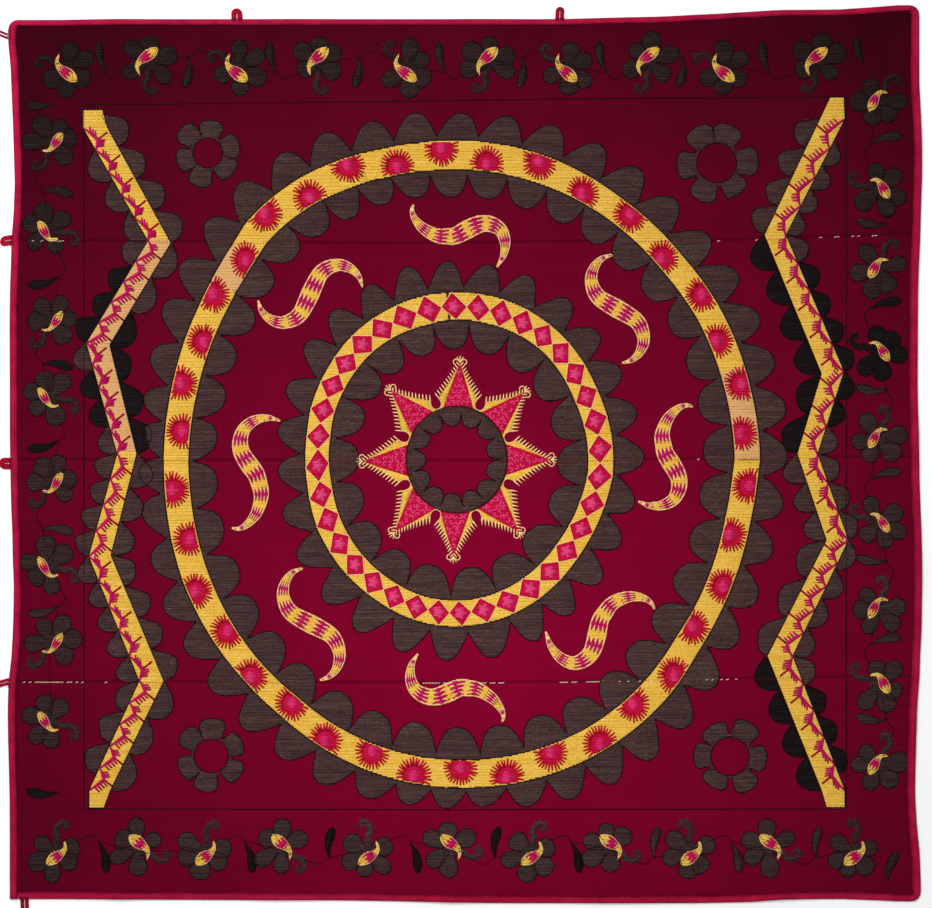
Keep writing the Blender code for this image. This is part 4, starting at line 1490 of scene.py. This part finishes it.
rosettes = Stitching(91)
for values_of_rosette in ROSETTES:
    rosette(rosettes, values_of_rosette)
rosettes.piece("corner_rosettes")

# %% [markdown]
# ## The border
# A thin line parts the field from a border of flowers and leaves. Each flower has a comma-shaped almond,
# golden at both ends and magenta between, with five uneven club-shaped petals about it and one curled,
# serrated tendril beyond its tail. The almonds point in turn inwards and outwards, and all lean the same way
# round. A leaf stands between each two flowers, and a thin vine joins them all.

# %% The almond and the tendril
ALMOND_SPINE = ((0.0, 0.0), (0.20, 0.22), (0.45, 0.66), (0.68, 1.0), (0.86, 0.86), (1.0, 0.0))
ALMOND_BOW = 0.21
ALMOND_HALVES = ((0.0, 0.10), (0.07, 0.55), (0.18, 0.90), (0.30, 1.0), (0.44, 0.88), (0.58, 0.58),
                 (0.74, 0.32), (0.88, 0.17), (1.0, 0.05))
FLAMES = 7


def swept_shape(spine, halves):
    """A function that gives the point at a share along a spine and from -1 to 1 across it."""
    spine = resampled(spine, 3.0)
    across = headings(spine)[1]
    shares = np.linspace(0, 1, len(spine))
    half = np.interp(shares, *np.array(halves).T)

    def spot(share, side):
        """The point at a share along and a share across."""
        middle = np.array([np.interp(share, shares, spine[:, k]) for k in (0, 1)])
        out = np.array([np.interp(share, shares, across[:, k]) for k in (0, 1)])
        return middle + out * side * np.interp(share, shares, half)

    return spot


def outline_of(spot, count=14):
    """The closed outline of a swept shape."""
    shares = np.linspace(0, 1, count)
    return np.array([spot(share, 1.0) for share in shares] + [spot(share, -1.0) for share in shares[::-1]])


def almond(work, head, tip, bow, fat):
    """The comma-shaped almond at a flower's heart. Its magenta middle ends in flames both ways."""
    chord = tip - head
    side = np.array([chord[1], -chord[0]])
    spine = curved([head + chord * out + side * bow * bend for out, bend in ALMOND_SPINE], 4)
    spot = swept_shape(spine, [(share, half * fat) for share, half in ALMOND_HALVES])
    edge = outline_of(spot)
    work.fill([edge], "yellow", SECOND_LAYER, pitch=3.2)
    sides = np.linspace(-1, 1, FLAMES)
    flames = [spot(0.36 if k % 2 == 0 else 0.21, side) for k, side in enumerate(sides)]
    flames += [spot(0.47 if k % 2 == 0 else 0.62, side) for k, side in enumerate(sides[::-1])]
    work.fill([np.array(flames)], "magenta", THIRD_LAYER, pitch=3.0)
    for way in (-0.92, 0.92):
        rim = [spot(share, way) for share in np.linspace(0.02, 0.96, 10)]
        work.thread(rim, 0.9, 0.9, "edging", SECOND_LAYER)
    work.chain(edge, "outline", 2.4, closed=True, rise=1.2)


TENDRIL = ((0, 0), (14, 5), (29, -1), (42, 5), (51, 16), (46, 27), (35, 25), (33, 17))


def tendril(work, root, turn, yarn):
    """A curled, serrated tendril."""
    ahead, side = facing(turn)
    side = side * work.luck.choice((-1, 1))
    line = resampled(curved([root + ahead * out + side * across for out, across in TENDRIL], 4), 5.0)
    widths = np.interp(np.linspace(0, 1, len(line)), (0, 0.4, 0.7, 1), (8.0, 7.0, 5.0, 3.5))
    work.thread(line, widths, 1.0, yarn)
    way, across = headings(line)
    for k in range(1, len(line) - 2, 2):
        for hand in (-1, 1):
            work.straight(line[k], line[k] + across[k] * hand * 11 + way[k] * 5, yarn, 5.4, 0.3, 0.9)


print("An almond has", FLAMES // 2, "flames at each end of its middle")

# %% Border flowers, leaves and vine
FRAME_LINE = ((-907, 859), (-300, 866), (300, 874), (922, 878), (922, -830), (0, -832), (-907, -830))
BORDER_SIDES = {
    "top": {"heads": (-924, -730, -515, -321, -109, 85, 275, 472, 653, 876), "inner": 914, "outer": 997,
            "reach": 67, "fat": 15.0, "along": (1, 0), "up": (0, 1), "inner_first": True},
    "right": {"heads": (845, 635, 444, 245, 36, -166, -372, -553, -746), "inner": 975, "outer": 1025,
              "reach": 48, "fat": 12.5, "along": (0, -1), "up": (1, 0), "inner_first": True},
    "bottom": {"heads": (917, 714, 526, 331, 142, -51, -249, -456, -639, -798, -997),
               "inner": 893, "outer": 964,
               "reach": 58, "fat": 14.5, "along": (-1, 0), "up": (0, -1), "inner_first": False},
    "left": {"heads": (-598, -409, -226, -23, 180, 362, 581, 792), "inner": 958, "outer": 1017,
             "reach": 50, "fat": 11.0, "along": (0, 1), "up": (-1, 0), "inner_first": False},
}
ALMOND_LEAN, LEAF_BACK = 42.0, 40.0
LEAF_BENDS = ((0, 0), (0.3, 0.05), (0.65, 0.05), (1, -0.07))
LEAF_HALVES = ((0, 3), (0.1, 8.5), (0.3, 11.5), (0.55, 8), (0.8, 3.5), (1, 0.8))
FLOWER_PETALS, FLOWER_MIDDLE, FIRST_PETAL_TURN, TENDRIL_TURN = 5, 24.0, 34.0, -26.0
BLACK_FLOWERS = {("right", 3)}
BLACK_LEAVES = {("left", 3), ("left", 4), ("left", 5), ("right", 2), ("bottom", 3), ("bottom", 4),
                ("bottom", 5), ("bottom", 6), ("bottom", 7), ("bottom", 9)}
LEAF_GAPS = {("left", 0), ("bottom", 8)}
CORNER_LEAVES = (((-1044, 862), (-986, 857), "dark brown"), ((-1044, -786), (-968, -794), "black"),
                 ((948, 1020), (962, 953), "dark brown"), ((1046, -934), (1016, -1004), "dark brown"))


def flower(work, stems, head, tip, bow, fat, yarn):
    """A border flower: petals first, then its almond over them."""
    centre = (head + tip) / 2
    towards = tip - head
    bearing = math.degrees(math.atan2(towards[0], towards[1]))
    work.fill([round_line(centre, FLOWER_MIDDLE, 20)], yarn)
    for slot in range(FLOWER_PETALS):
        turn = bearing + FIRST_PETAL_TURN + 60 * slot + work.luck.uniform(-9, 9)
        reach, half = work.luck.uniform(58, 74), work.luck.uniform(19, 25)
        lobe(work, centre, turn, 8, reach, half, 0.45, yarn, 2.8, work.luck.uniform(0, 0.3))
    turn = bearing + TENDRIL_TURN + work.luck.uniform(-8, 8)
    tendril(stems, centre + facing(turn)[0] * FLOWER_MIDDLE, turn, yarn)
    almond(work, head, tip, bow, fat)


def leaf(work, blob, tip, yarn):
    """A comma-shaped leaf from its broad end to its tip."""
    blob, tip = np.asarray(blob, float), np.asarray(tip, float)
    chord = tip - blob
    side = np.array([chord[1], -chord[0]])
    spine = curved([blob + chord * out + side * bend for out, bend in LEAF_BENDS], 4)
    edge = outline_of(swept_shape(spine, LEAF_HALVES), 12)
    work.fill([edge], yarn)
    work.chain(edge, width=2.6, closed=True)


def border_side(work, stems, name):
    """The flowers, leaves and vine of one side of the border."""
    plan = BORDER_SIDES[name]
    along, up = np.array(plan["along"], float), np.array(plan["up"], float)
    middle = (plan["inner"] + plan["outer"]) / 2
    places = [head * (along[0] + along[1]) for head in plan["heads"]]
    vine = []
    for k, place in enumerate(places):
        inner_head = (k % 2 == 0) == plan["inner_first"]
        way = 1 if inner_head else -1
        head_out = plan["inner"] if inner_head else plan["outer"]
        head = along * place + up * head_out
        tip = along * (place - ALMOND_LEAN) + up * (head_out + way * plan["reach"])
        bow = -way * ALMOND_BOW * work.luck.uniform(0.8, 1.2)
        fat = plan["fat"] * work.luck.uniform(0.92, 1.08)
        flower(work, stems, head, tip, bow, fat, "black" if (name, k) in BLACK_FLOWERS else "dark brown")
        vine.append(along * (place - 20) + up * middle)
        if k + 1 == len(places) or (name, k) in LEAF_GAPS:
            continue
        between = (place + places[k + 1]) / 2 - LEAF_BACK
        blob = along * (between - 4) + up * (middle + way * 54)
        end = along * (between + 10) + up * (middle - way * 20)
        leaf(stems, blob, end, "black" if (name, k) in BLACK_LEAVES else "dark brown")
        vine += [end, along * (between + 34) + up * (middle - way * 34)]
    stems.chain(curved(vine, 6), "vine", 3.2, rise=0.8)


flowers, stems = Stitching(101), Stitching(102)
for side_of_border in BORDER_SIDES:
    border_side(flowers, stems, side_of_border)
for blob_of_leaf, tip_of_leaf, yarn_of_leaf in CORNER_LEAVES:
    leaf(stems, blob_of_leaf, tip_of_leaf, yarn_of_leaf)
stems.chain(np.array(FRAME_LINE, float), "vine", 3.8, closed=True, rise=0.9)
flowers.piece("border_flowers")
stems.piece("border_leaves_and_vine")

# %% [markdown]
# ## Sewing
# The cloths are joined with small whip stitches in thread of the ground's own colour, and a pale mending
# thread shows where a seam was sewn again. The binding is held down by a row of stitches along its inner
# edge, and each loop by a few stitches at its root.

# %% Seam and binding stitches
SEAM_STITCH_STEP = 7.0
STRAY_PALE = 0.004
PALE_STRETCHES = {0: ((-1075, -935, 0.3), (850, 1000, 0.3)), 1: ((440, 570, 0.15),),
                  2: ((-1075, -905, 0.9), (-96, 100, 0.7), (235, 275, 0.6), (300, 334, 0.9), (350, 670, 0.2))}


def seam_stitches(work):
    """Whip stitches over the three seams, some of them in the pale mending thread."""
    for index, seam in enumerate(SEAM_LINES):
        for x in np.arange(-1050, 1066, SEAM_STITCH_STEP):
            y = float(np.interp(x, EDGE_X, seam))
            shares = [share for low, high, share in PALE_STRETCHES[index] if low < x < high]
            pale = work.luck.random() < max(shares, default=STRAY_PALE)
            half = work.luck.uniform(0.3, 1.6) if pale else 2.4
            slant = work.luck.uniform(2.4, 3.6) if pale else 1.6
            yarn = "seam pale" if pale else "seam red"
            work.straight((x - slant, y - half), (x + slant, y + half), yarn, 2.0, 0.8, 0.6, 0.1)


def binding_stitches(work):
    """A row of small stitches along the binding's inner edge."""
    for name, line in BOUND.items():
        line = resampled(line, 8.0)
        for spot, way in zip(line[1:-1], headings(line)[1][1:-1]):
            root = spot - way * (LEAF_WIDTHS[name] - 2.5)
            work.straight(root, root - way * 4.5, "seam red", 1.5, 0.8, 1.0, 1.0)


def loop_stitches(work, node):
    """Whip stitches over the root of a loop."""
    low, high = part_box(node)
    centre = np.array([(low.x + high.x) / 2, (low.y + high.y) / 2]) / MM
    for name, line in BOUND.items():
        line = resampled(line, 2.0)
        gap = np.hypot(*(line - centre).T)
        if gap.min() < 26:
            across = headings(line)[1]
            nearest = int(gap.argmin())
            for k in range(nearest - 5, nearest + 6, 2):
                if 0 <= k < len(line):
                    way = across[k] * 5
                    work.straight(line[k] - way, line[k] + way, "seam red", 1.4, 0.8, 0.9, 1.3)


sewing = Stitching(111)
seam_stitches(sewing)
binding_stitches(sewing)
for loop_node in LOOP_NODES:
    loop_stitches(sewing, loop_node)
sewing.piece("sewing_stitches")

# %% [markdown]
# ## Counting the triangles
# The triangles of all the pieces are added up and printed.

print("All pieces:", sum(TALLY.values()), "triangles")
